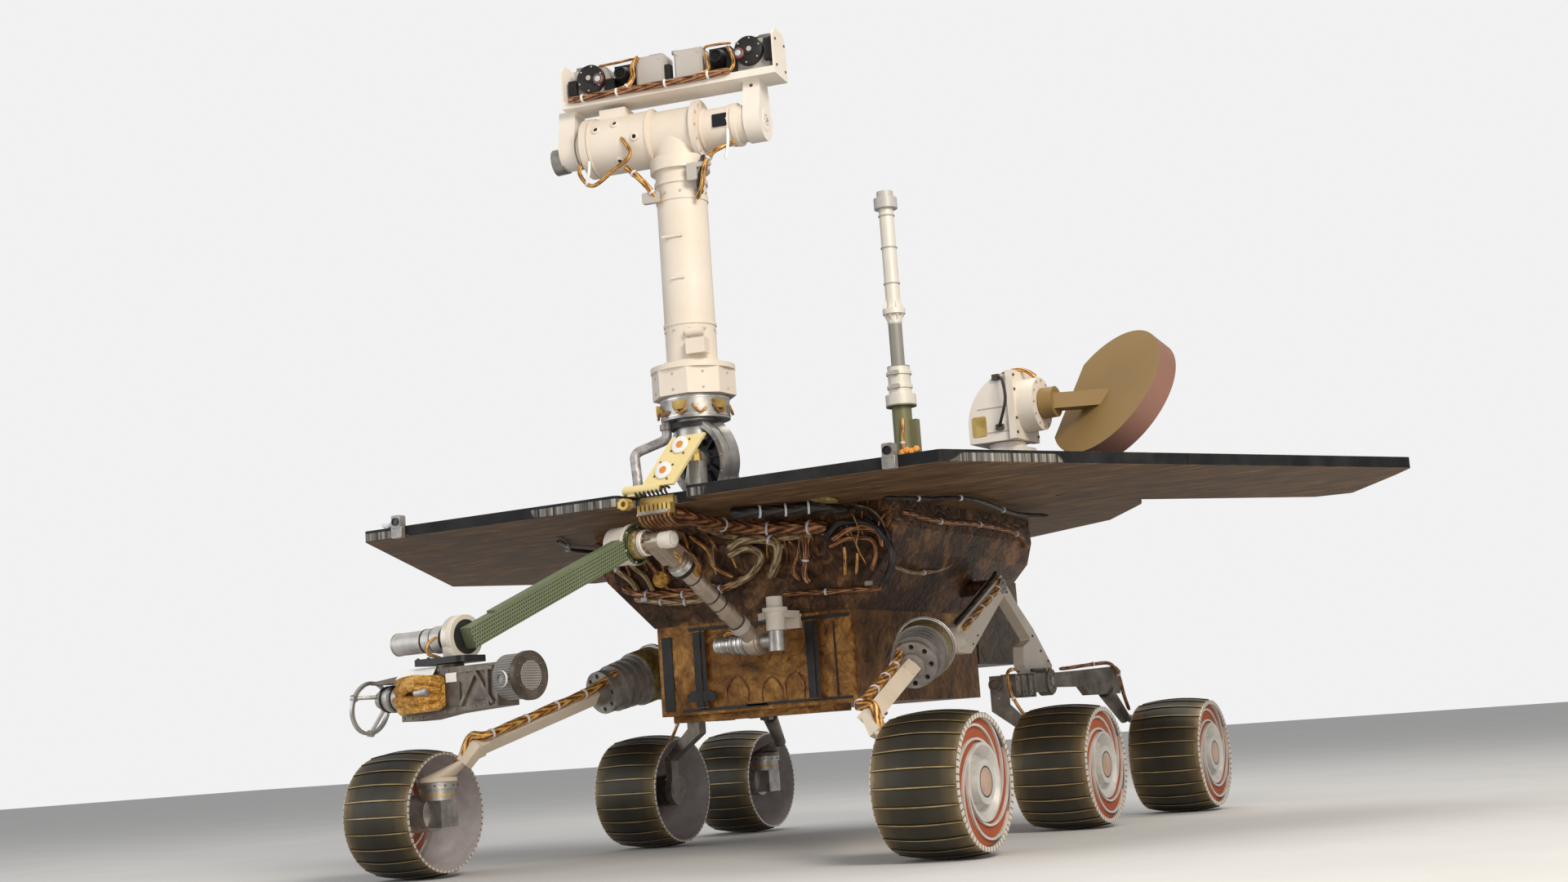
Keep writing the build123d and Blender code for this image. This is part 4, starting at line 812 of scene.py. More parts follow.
# Harness on the body's front, under the deck. row: name, radius, material, lobes, ties, points
FRONT_RUNS = [
    (
        "bundle_black", 11.0, BLACK_CABLE, 0, (0.3, 0.5, 0.7),
        [(98, -596, 651), (140, -574, 650), (184, -535, 651), (238, -505, 652), (262, -430, 646)],
    ),
    (
        "bundle_main", 12.5, BROWN_CABLE, 8, (0.32, 0.6, 0.86),
        [
            (30, -690, 655), (34, -600, 644), (30, -460, 640), (74, -414, 634), (150, -413, 628),
            (206, -410, 623),
        ],
    ),
    (
        "bundle_second", 6.0, TAN_CABLE, 5, (),
        [(30, -600, 632), (-14, -430, 630), (40, -411, 620), (100, -409, 613), (170, -409, 610)],
    ),
    (
        "loop_wide_a", 9.0, TAN_CABLE, 6, (0.5,),
        [
            (-20, -410, 607), (15, -414, 617), (62, -415, 615), (92, -413, 602), (88, -410, 571),
            (68, -404, 537),
        ],
    ),
    (
        "loop_wide_b", 7.5, TAN_CABLE, 5, (),
        [
            (-22, -409, 592), (24, -412, 600), (52, -410, 586), (46, -407, 568), (19, -403, 546),
            (-26, -400, 529),
        ],
    ),
    (
        "hang_a", 6.0, BROWN_CABLE, 4, (0.5,),
        [(150, -411, 615), (155, -411, 584), (146, -406, 536), (150, -398, 520)],
    ),
    (
        "hang_b", 4.0, BROWN_CABLE, 3, (),
        [(118, -409, 606), (136, -409, 581), (120, -404, 546), (132, -400, 526)],
    ),
    ("hang_c", 3.5, GOLD_CABLE, 0, (), [(239, -409, 580), (238, -406, 556), (233, -402, 527)]),
    ("hang_d", 3.0, GOLD_CABLE, 0, (), [(266, -407, 566), (262, -404, 546), (257, -401, 526)]),
    (
        "arc_outer", 7.0, BLACK_CABLE, 4, (),
        [
            (200, -409, 604), (238, -410, 628), (300, -409, 618), (334, -406, 578), (336, -402, 538),
            (314, -396, 500),
        ],
    ),
    (
        "arc_middle", 6.0, BROWN_CABLE, 4, (),
        [(214, -408, 598), (262, -409, 614), (312, -407, 604), (322, -405, 572)],
    ),
    (
        "arc_inner", 4.5, BROWN_CABLE, 3, (),
        [(206, -407, 584), (250, -408, 596), (296, -406, 588), (304, -404, 560), (290, -400, 530)],
    ),
    (
        "arc_top", 3.0, BLACK_CABLE, 0, (),
        [(236, -411, 655), (298, -412, 648), (332, -410, 607), (338, -406, 567)],
    ),
    (
        "wire_a", 1.4, GOLD_CABLE, 0, (),
        [(236, -413, 658), (262, -416, 645), (276, -415, 610), (268, -412, 579), (282, -405, 543)],
    ),
    (
        "wire_b", 1.4, TAN_CABLE, 0, (),
        [(272, -413, 658), (303, -416, 648), (327, -413, 622), (340, -408, 575)],
    ),
    (
        "low_run", 5.5, BROWN_CABLE, 5, (0.5,),
        [(88, -391, 503), (150, -392, 500), (230, -391, 497), (302, -389, 494)],
    ),
    (
        "waist_upper", 7.5, BROWN_CABLE, 6, (0.3, 0.55, 0.8),
        [
            (-292, -389, 552), (-250, -398, 536), (-196, -399, 530), (-120, -398, 523), (-52, -399, 527),
            (10, -400, 544),
        ],
    ),
    (
        "waist_lower", 6.5, TAN_CABLE, 5, (0.4, 0.7),
        [(-262, -393, 527), (-206, -396, 516), (-140, -395, 509), (-80, -394, 510)],
    ),
    (
        "flank_a", 6.0, TAN_CABLE, 4, (0.4,),
        [(-330, -402, 640), (-300, -406, 596), (-262, -400, 560), (-250, -394, 530)],
    ),
    (
        "flank_b", 5.0, TAN_CABLE, 4, (),
        [(-290, -406, 640), (-262, -406, 600), (-226, -402, 566), (-214, -396, 534)],
    ),
    (
        "flank_c", 4.0, BROWN_CABLE, 3, (),
        [(-250, -407, 640), (-220, -408, 604), (-196, -403, 572), (-176, -399, 540), (-120, -397, 532)],
    ),
    (
        "centre_a", 5.0, BROWN_CABLE, 4, (),
        [(-160, -407, 640), (-120, -409, 612), (-96, -406, 580), (-110, -400, 548), (-60, -398, 534)],
    ),
    (
        "centre_b", 4.0, GOLD_CABLE, 0, (),
        [(-110, -408, 640), (-70, -410, 606), (-60, -406, 572), (-20, -401, 548)],
    ),
]
cables("chassis", at, FRONT_RUNS, "front_")
rng = random.Random(11)
for index in range(26):
    x = -300 + 25 * index + rng.uniform(-8, 8)
    top = rng.uniform(615, 650)
    low = top - rng.uniform(22, 70)
    sway = rng.uniform(-26, 26)
    tone = (BLACK_CABLE, BROWN_CABLE, TAN_CABLE, GOLD_CABLE)[index % 4]
    route = [at(x, -404, top), at(x + sway * 0.7, -409, (top + low) / 2), at(x + sway, -400, low)]
    cable(f"front_fringe_{index}", "chassis", route, rng.uniform(1.4, 3.2), tone)
turned(
    "front_cover", "chassis", OLIVE_FOIL, at(262, -520, 662), (-0.1, -0.1, -1),
    [(-2, 26), (2, 26), (3.4, 24), (3.6, 0)], 40,
)
turned(
    "front_cap", "chassis", GOLD_FOIL, at(-191, -400, 560), (0.1, -1, -0.1),
    [(-8, 17), (2, 18), (6, 17), (8, 13), (8.4, 0)], 32,
)
plates(
    "front_clips", "chassis", GREY_METAL, at, ACROSS,
    [
        (x, -406, z, box_outline(16, 9), 5)
        for x, z in ((-20, 634), (96, 596), (200, 612), (-230, 522), (286, 505))
    ],
)
plates(
    "belly_frame", "chassis", BLACK_METAL, at, ACROSS,
    [
        (-118, BOX_FRONT_Y - 9, 370, box_outline(28, 152, 2), 0.8),
        (-118, BOX_FRONT_Y - 12, 370, box_outline(8, 152, 2), 0.8),
        (142, BOX_FRONT_Y - 9, 370, box_outline(28, 152, 2), 0.8),
        (142, BOX_FRONT_Y - 12, 370, box_outline(8, 152, 2), 0.8),
        (-118, BOX_FRONT_Y - 9, 320, [(-34, -14), (34, -14), (34, 0), (20, 8), (-20, 8), (-34, 0)], 3),
        (100, BOX_FRONT_Y, 292, box_outline(240, 5), 3),
        (-70, BOX_FRONT_Y, 290, box_outline(200, 6), 3),
        (40, BOX_FRONT_Y, 452, box_outline(370, 7), 4),
        (188, BOX_FRONT_Y, 366, box_outline(3, 150), 2),
        (-200, BOX_FRONT_Y, 366, box_outline(24, 150), 2),
    ],
)
# Raised arches pressed into the foil. row: middle, half width, foot height, top height
ARCHES = [(92, 20, 290, 350), (40, 22, 292, 344), (-40, 24, 300, 352)]
for index, (x, half, low, high) in enumerate(ARCHES):
    rim = [
        at(x - half, -381, low), at(x - half, -382, high - half), at(x, -382, high),
        at(x + half, -382, high - half), at(x + half, -381, low),
    ]
    cable(f"arch_{index}", "chassis", rim, 1.6, BROWN_CABLE, slot="foil")
# The body's flanks lean outward from x 227 at the lower of these heights to x 346 at the upper one
FLANK_FOOT, FLANK_TOP = 462, 612
FLANK_LEAN = (346 - 227) / (FLANK_TOP - FLANK_FOOT)
# Raised rings on both flanks. row: behind the middle, height, radius
FLANK_RINGS = [(-210, 560, 34), (-40, 596, 30), (120, 584, 26)]
for index, (behind, z, radius) in enumerate(FLANK_RINGS):
    for side, sign in SIDES:
        x = 227 + (min(z, FLANK_TOP) - FLANK_FOOT) * FLANK_LEAN
        facing = (sign * 0.78, 0, -0.62) if z < 590 else (sign, 0, -0.25)
        centre = at(sign * (x - 1), behind, z)
        shape = [(-1, radius), (2.5, radius), (3.5, radius - 2), (2.5, radius - 4), (-1, radius - 4)]
        turned(f"flank_ring_{index}_{side}", "chassis", BOX_FOIL, centre, facing, shape, 36)

# Tubes and runs along the deck's underside at the sides
# row: name, radius, material, lobes, ties, points on the port side
FLANK_RUNS = [
    (
        "flank_run", 5.5, BROWN_CABLE, 4, (0.25, 0.5, 0.75),
        [(346, -360, 640), (352, -200, 630), (350, 0, 636), (348, 200, 628), (346, 262, 600)],
    ),
    (
        "flank_low", 4.5, TAN_CABLE, 3, (0.5,),
        [(300, -330, 540), (302, -240, 530), (300, -120, 540), (316, -60, 560)],
    ),
]
for side, sign in SIDES:
    cable(
        f"deck_tube_{side}", "chassis",
        [
            at(sign * 376, -495, 654), at(sign * 424, -391, 654), at(sign * 470, -300, 654),
            at(sign * 432, -5, 650), at(sign * 462, 105, 648),
        ],
        4.5, BLACK_CABLE, 0, (0.2, 0.45, 0.7), slot="dark_metal",
    )
    cables("chassis", beside(sign), FLANK_RUNS, suffix=f"_{side}")
fitting(
    "tail_screws", "chassis",
    bolt_circle(at(0, TAIL_Y + 0.3, 448), -AHEAD, 72, 12, 3.4)
    + [bolt_head(at(x, TAIL_Y + 0.3, z), -AHEAD, 3.4) for x in (-200, -100, 100, 200) for z in (368, 527)],
    GREY_METAL,
)
plates(
    "tail_frame", "chassis", GREY_METAL, at, -ACROSS,
    [(0, TAIL_Y, 448, box_outline(w, h, 6), 1.6) for w, h in ((396, 12), (12, 150))],
)

# Pedestal: black ring with ribs and bolts, brass valve, plugs, loops and seams round the drum
RING_CENTRE = by_mast(14, 10, 757)
RING_WAY = Vector((-0.32, -0.93, -0.18)).normalized()
turned(
    "ring_well", "chassis", BLACK_METAL, RING_CENTRE + RING_WAY * 0.0062, RING_WAY,
    [(-0.4, 63), (1.2, 63), (1.4, 60), (0.8, 0)], 48,
)
ribs = []
for spoke in spokes(RING_WAY, 10):
    ribs.append(
        slab(
            RING_CENTRE + RING_WAY * 0.0074 + spoke * 0.042, spoke, RING_WAY.cross(spoke),
            box_outline(34, 4), 9,
        )
    )
fitting("ring_ribs", "chassis", ribs, BLACK_METAL)
fitting(
    "ring_bolts", "chassis", bolt_circle(RING_CENTRE + RING_WAY * 0.0268, RING_WAY, 71, 14, 2.2), BRIGHT
)
turned(
    "ring_hub", "chassis", GREY_METAL, RING_CENTRE + RING_WAY * 0.007, RING_WAY,
    [(0, 17), (12, 16), (15, 12), (15.4, 0)], 24,
)
turned(
    "brass_valve", "chassis", BRASS, by_mast(34, -62, 742), UP,
    [(0, 10), (14, 10), (15, 8), (22, 8), (23, 0)], 6,
)
plates("valve_block", "chassis", SILVER, by_mast, ACROSS, [(34, -48, 714, box_outline(24, 56, 3), 26)])
wedges, loops = [], []
for index, turn in enumerate((-150, -118, -84, -52, -18, 20)):
    way = Vector((math.cos(math.radians(turn)), math.sin(math.radians(turn)), 0))
    across = UP.cross(way)
    spot = by_mast(0, 0, 852) + way * 0.0655
    if index % 2 == 0:
        wedges.append(slab(spot, across, UP, [(-15, 8), (-9, -9), (9, -9), (15, 8)], 9))
    low = spot - Vector((0, 0, 0.016)) + way * 0.006
    loops.append([
        spot + way * 0.003 - across * 0.014, low,
        spot + way * 0.003 + across * 0.014 - Vector((0, 0, 0.008)),
    ])
fitting("drum_plugs", "chassis", wedges, BRASS)
for index, route in enumerate(loops):
    cable(f"drum_loop_{index}", "chassis", route, 2.6, GOLD_CABLE)
fitting(
    "drum_seams", "chassis",
    [lathe(by_mast(0, 0, z), UP, [(-1, 65), (-1, 67), (1, 67), (1, 65)], 48) for z in (834, 866)], BRIGHT,
)
turned(
    "drum_low_ring", "chassis", BLACK_METAL, by_mast(0, 0, 818), UP,
    [(-5, 39), (-5, 52), (5, 52), (5, 39)], 40,
)
fitting(
    "hose_collars", "chassis",
    [
        lathe(by_mast(-100, -62, 690), UP, [(-1, 13), (7, 13), (8, 10), (8, 9)], 20),
        lathe(by_mast(-46, -34, 819), UP, [(-6, 10), (-5, 13), (5, 13), (6, 10)], 20),
    ],
    GREY_METAL,
)
PLATE_FOOT = by_mast(-26, -108, 702)
PLATE_RISE = by_mast(26, -74, 784) - PLATE_FOOT
PLATE_WAY = ACROSS.cross(PLATE_RISE).normalized()
PLATE_UP = PLATE_WAY.cross(ACROSS).normalized()
discs, eyes, screws = [], [], []
for across, up in ((10, 26), (38, 76)):
    spot = PLATE_FOOT + ACROSS * across / 1000 + PLATE_UP * up / 1000 + PLATE_WAY * 0.0054
    discs.append(lathe(spot, PLATE_WAY, [(-0.6, 17.5), (0.8, 17.5), (1.4, 16.4), (1.5, 0)], 32))
    eyes.append(lathe(spot + PLATE_WAY * 0.0015, PLATE_WAY, [(-0.3, 8), (0.4, 7.4), (0.6, 0)], 24))
    screws.extend(bolt_circle(spot - PLATE_WAY * 0.0022, PLATE_WAY, 21, 4, 2.2, 0.5))
fitting("magnet_discs", "chassis", discs, PLAIN_WHITE)
fitting("magnet_eyes", "chassis", eyes, ORANGE)
fitting("magnet_screws", "chassis", screws, STEEL)

# Comb in the deck's notch: a grey cross bar with wires below and above it
plates("comb_bar", "chassis", GREY_METAL, at, ACROSS, [(21, -747.2, 652, box_outline(66, 6), 3)])
for index in range(8):
    x = -11.5 + 9.2 * index
    cable(
        f"comb_wire_{index}", "chassis",
        [at(x, -745, 652), at(x + 1, -742, 638), at(x + 5, -720, 626), at(x + 8, -660, 632)], 2.4,
        BROWN_CABLE,
    )
    cable(
        f"comb_top_wire_{index}", "chassis",
        [at(x, -744, 682), at(x, -752, 690), at(x + 1, -748, 697), at(x + 1, -736, 694)], 2.2,
        BLACK_CABLE, slot="dark_metal",
    )

# Fittings along the deck's leading edge
for side, sign in SIDES:
    plates(
        f"edge_latch_{side}", "chassis", GREY_METAL, at, ACROSS,
        [
            (sign * 541, -795, 674, box_outline(26, 24, 3), 12),
            (sign * 541, -790, 694, box_outline(22, 26, 3), 18),
        ],
    )
    turned(
        f"edge_eye_{side}", "chassis", DARK_GLASS, at(sign * 541, -808, 694), AHEAD,
        [(-1, 8), (3, 8), (3, 6), (1, 5), (1, 0)], 20,
    )
    fitting(
        f"edge_links_{side}", "chassis",
        [
            lathe(
                at(sign * (560 + 9 * k), -786, 690 + (k % 2) * 3), (0.3, -1, 0),
                [(-5, 2), (-4, 5), (4, 5), (5, 2)], 14,
            )
            for k in range(4)
        ],
        ORANGE if sign > 0 else TIE, "white_paint",
    )

# Mast tube and tee: rivets, collar bolts, plates, bosses, seams and slack loops


def tube_bolts(distance, heights, turns, radius):
    """Bolt heads round the mast's tube, facing outward."""
    heads = []
    for z in heights:
        for turn in turns:
            x, y = math.cos(turn), math.sin(turn)
            heads.append(bolt_head(head(distance * x, distance * y, z), head_way(x, y, 0), radius))
    return heads


rivets = tube_bolts(50.5, (1000, 1270, 1340), [math.tau * k / 10 for k in range(10)], 2.2)
fitting(
    "mast_rivets", "mast_turning", bolt_circle(head(0, 0, 1259), ACROSS, 0.1, 1, 1.0) + rivets, COVER_GREY
)
collar = tube_bolts(74.4, (882, 912), [math.radians(34.3 + 45 * k) for k in range(8)], 2.6)
fitting("collar_bolts", "mast_turning", collar, COVER_GREY)
plates(
    "mast_plate", "mast_turning", MAST_PAINT, head, HEAD_SIDE,
    [(-6, -50, 1182, box_outline(44, 5), 2.4), (0, -50, 1100, box_outline(30, 4), 2.2)],
)
BARREL_RADIUS, NECK_RADIUS = 56, 39
bosses, holes = [], []
for x, lift in ((-111, 27), (-69, -6), (-109, -43), (-150, 20)):
    way = Vector((0, -math.sqrt(BARREL_RADIUS**2 - lift**2), lift)) / BARREL_RADIUS
    spot = head(x, way.y * (BARREL_RADIUS - 0.4), BARREL_Z + lift)
    out = head_way(0, way.y, way.z)
    bosses.append(lathe(spot, out, [(-1, 8.5), (2.4, 8.5), (3.2, 7.4), (3.2, 4.4), (1, 4.2)], 24))
    holes.append(lathe(spot, out, [(-0.6, 4.5), (1.6, 4.4), (1.7, 0)], 18))
fitting("barrel_bosses", "mast_turning", bosses, MAST_PAINT)
fitting("barrel_holes", "mast_turning", holes, BLACK_METAL)
fitting(
    "barrel_window", "mast_turning",
    [slab(head(101, -37.6, BARREL_Z + 3), HEAD_SIDE, (0, 0.08, 1), box_outline(30, 26, 2), 3.4)],
    DARK_GLASS,
)
fitting(
    "barrel_bolts", "mast_turning",
    bolt_circle(head(54, 0, BARREL_Z), HEAD_SIDE, 52, 12, 3.2)
    + bolt_circle(head(-187, 0, BARREL_Z), -HEAD_SIDE, 50, 10, 3.2),
    COVER_GREY,
)
fitting(
    "barrel_seams", "mast_turning",
    [
        lathe(
            head(x, 0, BARREL_Z), HEAD_SIDE, [(-2.4, r - 1), (-2, r + 2.2), (2, r + 2.2), (2.4, r - 1)],
            56,
        )
        for x, r in ((-168, BARREL_RADIUS), (-46, BARREL_RADIUS), (116, NECK_RADIUS), (60, NECK_RADIUS))
    ],
    MAST_PAINT,
)
# row: name, radius, material, lobes, ties, points in the head's frame
HEAD_LOOPS = [
    (
        "head_loop_a", 4.0, GOLD_CABLE, 0, (0.35,),
        [
            (-188, -30, 1366), (-193, -44, 1336), (-160, -60, 1302), (-112, -64, 1326), (-78, -60, 1352),
            (-96, -56, 1390),
        ],
    ),
    (
        "head_loop_b", 6.0, GOLD_CABLE, 0, (0.2, 0.7),
        [(-91, -56, 1330), (-62, -58, 1302), (-40, -54, 1272), (-30, -44, 1252)],
    ),
    (
        "head_loop_c", 4.5, GOLD_CABLE, 0, (0.4,),
        [(128, -38, 1350), (92, -56, 1332), (74, -60, 1310), (62, -52, 1272), (46, -40, 1250)],
    ),
]
cables("mast_turning", head, HEAD_LOOPS)
cable(
    "head_loop_d", "mast_turning",
    [head(60, -30, 1334), head(66, -44, 1310), head(56, -46, 1284), head(50, -30, 1262)], 6.5,
    BLACK_CABLE, slot="dark_metal",
)
HEAD_CLIPS = [
    (head(118, -44, 1376), head(112, -48, 1316)), (head(-164, -60, 1352), head(-176, -54, 1306))
]
for index, (top, foot) in enumerate(HEAD_CLIPS):
    cable(
        f"head_clip_{index}", "mast_turning", [top, (top + foot) / 2 + Vector((0.004, -0.002, 0)), foot],
        3.0, PLAIN_WHITE,
    )
plates(
    "tee_cable_boxes", "mast_turning", COVER_GREY, head, HEAD_SIDE,
    [
        (-44, -46, 1262, box_outline(34, 22, 3), 10),
        (44, -46, 1300, box_outline(20, 34, 3), 12),
        (62, -48, 1312, box_outline(40, 9, 3), 8),
    ],
)

# Camera head: screws, lens glass, red rings, hoods and filter discs, harness, boxes and bar bolts
BAR_BOTTOM = 1470
LENS_Z = BAR_BOTTOM + 58
PLATE_X = 165
WIDE_LENS_X = 147
SMALL_LENS_X = 100
NAVIGATION_X = 40
BAR_END_X = 222
PIN_END_X = 182
WIDE_LENS_Z = LENS_Z - 4
screws, glass, red, hoods, filters = [], [], [], [], []
for sign in (1, -1):
    for dx in (-21, 21):
        for z in (BAR_BOTTOM + 15, LENS_Z + 17):
            screws.append(bolt_head(head(sign * NAVIGATION_X + dx, -27, z), HEAD_AHEAD, 2.0))
    for index in range(6):
        angle = math.radians(20 + 60 * index)
        x = sign * PLATE_X + 24 * math.cos(angle)
        screws.append(bolt_head(head(x, -31, LENS_Z + 24 * math.sin(angle)), HEAD_AHEAD, 1.8))
    for parts, x, y, z, profile, sides in (
        (glass, WIDE_LENS_X, -33.4, WIDE_LENS_Z, [(0, 6), (2.6, 5.8), (3.6, 3.4), (3.9, 0)], 24),
        (glass, SMALL_LENS_X, -28, LENS_Z, [(0, 7.6), (1.4, 7.2), (2.6, 4.4), (3, 0)], 24),
        (red, WIDE_LENS_X, -30, WIDE_LENS_Z, [(0, 11), (3, 11), (3.6, 9.4), (3, 9)], 28),
        (hoods, WIDE_LENS_X, -36.5, WIDE_LENS_Z, [(-1, 6.6), (0.6, 6.6), (0.9, 8.4), (-1, 9.2)], 28),
        (hoods, SMALL_LENS_X, -33.4, LENS_Z, [(-1, 10), (1.4, 10), (1.6, 12.4), (-1, 13)], 28),
        (
            filters, PLATE_X, -30, LENS_Z,
            [(-11, 28.4), (0.2, 28.4), (0.8, 27.4), (0.8, 9), (2.4, 8), (2.4, 0)], 44,
        ),
    ):
        parts.append(lathe(head(sign * x, y, z), HEAD_AHEAD, profile, sides))
fitting("head_screws", "camera_head", screws, COVER_GREY)
fitting("head_filters", "camera_head", filters, BLACK_METAL)
fitting("head_glass", "camera_head", glass, GLASS)
fitting("head_red_rings", "camera_head", red, RED)
fitting("head_hoods", "camera_head", hoods, BLACK_METAL)
cable(
    "bar_harness", "camera_head",
    [
        head(-205, -48, 1484), head(-150, -51, 1484), head(-80, -51, 1484), head(0, -51, 1484),
        head(70, -51, 1485), head(132, -49, 1487),
    ],
    6.5, BROWN_CABLE, 5, (0.12, 0.36, 0.62, 0.86), PLAIN_WHITE,
)
BAR_RUNS = [
    (
        "bar_riser_a", 5.0, GOLD_CABLE, 3, (0.3,),
        [(-120, -50, 1486), (-84, -50, 1490), (-70, -42, 1510), (-72, -36, 1534), (-64, -26, 1556)],
    ),
    (
        "bar_riser_b", 3.6, GOLD_CABLE, 0, (),
        [(132, -48, 1487), (140, -46, 1500), (134, -36, 1524), (120, -20, 1546)],
    ),
    (
        "bar_riser_c", 3.6, GOLD_CABLE, 3, (),
        [(40, -50, 1487), (70, -46, 1492), (84, -34, 1504), (76, -22, 1540)],
    ),
    (
        "bar_top_a", 2.6, GOLD_CABLE, 0, (),
        [(-150, -20, 1554), (-110, -16, 1556), (-78, -14, 1558), (-66, -20, 1550)],
    ),
    (
        "bar_top_b", 2.6, BLACK_CABLE, 0, (),
        [(150, -12, 1553), (176, -8, 1557), (200, -2, 1556), (212, 2, 1550)],
    ),
    (
        "bar_top_c", 2.6, GOLD_CABLE, 0, (),
        [(128, -20, 1552), (104, -12, 1557), (76, -14, 1556), (64, -4, 1552)],
    ),
]
cables("camera_head", head, BAR_RUNS)
plates(
    "bar_gear", "camera_head", BLACK_METAL, head, HEAD_SIDE,
    [
        (x, y, z, box_outline(w, h, 2), 14)
        for x, y, z, w, h in (
            (-128, -8, 1508, 22, 34), (-4, -10, 1512, 12, 40), (128, -8, 1508, 22, 40),
            (205, -14, 1526, 18, 44), (-205, -14, 1516, 18, 30),
        )
    ],
)
fitting(
    "bar_top_boxes", "camera_head",
    [
        slab(head(x, -6, 1553), HEAD_SIDE, -HEAD_AHEAD, box_outline(w, 22, 3), 6)
        for x, w in ((-180, 40), (-30, 30), (12, 18), (196, 26))
    ],
    GREY_METAL,
)
fitting(
    "bar_bolts", "camera_head",
    [bolt_head(head(BAR_END_X, y, z), HEAD_SIDE, 2.8) for y in (-34, 18) for z in (1488, 1540)]
    + [bolt_head(head(-BAR_END_X, y, z), -HEAD_SIDE, 2.8) for y in (-34, 18) for z in (1488, 1540)]
    + [
        bolt_head(head(PLATE_X, -21.6, 1458), HEAD_AHEAD, 5),
        bolt_head(head(176, -21.6, 1446), HEAD_AHEAD, 3),
    ],
    STEEL,
)
turned(
    "arm_cap", "camera_head", WHITE, head(PIN_END_X, 0, BARREL_Z), HEAD_SIDE,
    [(-0.5, 22), (0.6, 22), (1.2, 20.6), (1.2, 16)], 36,
)
turned(
    "pin_cap", "mast_turning", BLACK_METAL, head(PIN_END_X, 0, BARREL_Z), HEAD_SIDE,
    [(-1, 13.6), (0.4, 13.6), (0.8, 12), (0.8, 0)], 30,
)
fitting(
    "pin_bolts", "mast_turning",
    bolt_circle(head(PIN_END_X + 0.6, 0, BARREL_Z), HEAD_SIDE, 9.6, 8, 1.9)
    + [bolt_head(head(PIN_END_X + 0.6, 0, BARREL_Z), HEAD_SIDE, 4)],
    BRIGHT,
)
turned(
    "swing_motor", "camera_head", GREY_METAL, head(-239, 0, 1380), head_way(-1, 0, -0.06),
    [(-2, 26), (22, 26), (24, 20), (26, 14), (26.4, 0)], 28,
)

# Rod aerial: clamps, foot bolts and cable. Dish aerial: handle, clamps, flange bolts and cable
GIMBAL_X, GIMBAL_Y, GIMBAL_FACE_Y = 533, -250, -300
DISH_AXLE_Z = 828
fitting(
    "rod_clamps", "chassis",
    upright(by_rod, ACROSS, [(3, -24, z, box_outline(18, 9, 2), 5) for z in (905, 933)])
    + [
        lathe(by_rod(0, 0, z), UP, [(-1.5, 15), (-1.2, 17), (1.2, 17), (1.5, 15)], 32)
        for z in (1120, 1195, 1262)
    ],
    COVER_GREY,
)
fitting("rod_feet", "chassis", bolt_circle(by_rod(0, 0, 692), UP, 25, 8, 2.6), STEEL)
cable(
    "rod_cable", "chassis",
    [by_rod(10, -20, 838), by_rod(8, -24, 780), by_rod(16, -26, 720), by_rod(34, -40, 690)], 4.0,
    GOLD_CABLE, 0, (0.3, 0.7),
)
cable(
    "gimbal_handle", "dish_turntable",
    [at(545, -301, 884), at(560, -318, 876), at(566, -322, 838), at(552, -318, 798), at(538, -301, 786)],
    3.0, BLACK_CABLE, slot="dark_metal",
)
plates(
    "gimbal_clamps", "dish_turntable", STEEL, at, ACROSS,
    [(GIMBAL_X + 9, GIMBAL_FACE_Y + 0.4, z, box_outline(16, 12, 2), 7) for z in (884, 786)],
)
plates(
    "gimbal_patch", "dish_turntable", BRASS, at, ACROSS,
    [(GIMBAL_X - 35, GIMBAL_FACE_Y + 0.2, 792, box_outline(30, 40, 4), 1.4)],
)
fitting(
    "gimbal_flange", "dish_turntable", bolt_circle(at(612, GIMBAL_Y, DISH_AXLE_Z), ACROSS, 46, 12, 2.8),
    BRIGHT,
)
fitting(
    "gimbal_flange_side", "dish_turntable",
    [bolt_head(at(577.6, GIMBAL_Y + y, z), ACROSS, 3) for y in (-52, 52) for z in (772, 800, 856, 884)],
    STEEL,
)
cable(
    "gimbal_cable", "dish_turntable",
    [at(520, -262, 886), at(552, -262, 898), at(584, -258, 896), at(604, -250, 882)], 4.5, GOLD_CABLE, 3,
    (0.4,),
)
plates(
    "gimbal_seams", "dish_turntable", COVER_GREY, at, ACROSS,
    [(GIMBAL_X, GIMBAL_FACE_Y + 0.2, z, box_outline(w, 2.4, 1), 1.2) for z, w in ((778, 84), (826, 74))],
)
fitting(
    "pedestal_feet", "chassis",
    [bolt_head(at(GIMBAL_X + x, GIMBAL_Y + y, 694), UP, 3.6) for x in (-57, 57) for y in (-44, 0, 44)],
    STEEL,
)

# Arm: collars, rings, bolts, foil and plates
SHOULDER_Z = 412
ELBOW = (-277.9, 600.9)
WRIST_PIN = (-703.8, 429.7)
WRIST_FLANGE_X = -102
TUBE_WAY = arm_way(0, -math.cos(TUBE_RISE), math.sin(TUBE_RISE))
ELBOW_POINT = arm(0, *ELBOW)


def down_tube(distance):
    return ELBOW_POINT - TUBE_WAY * distance / 1000


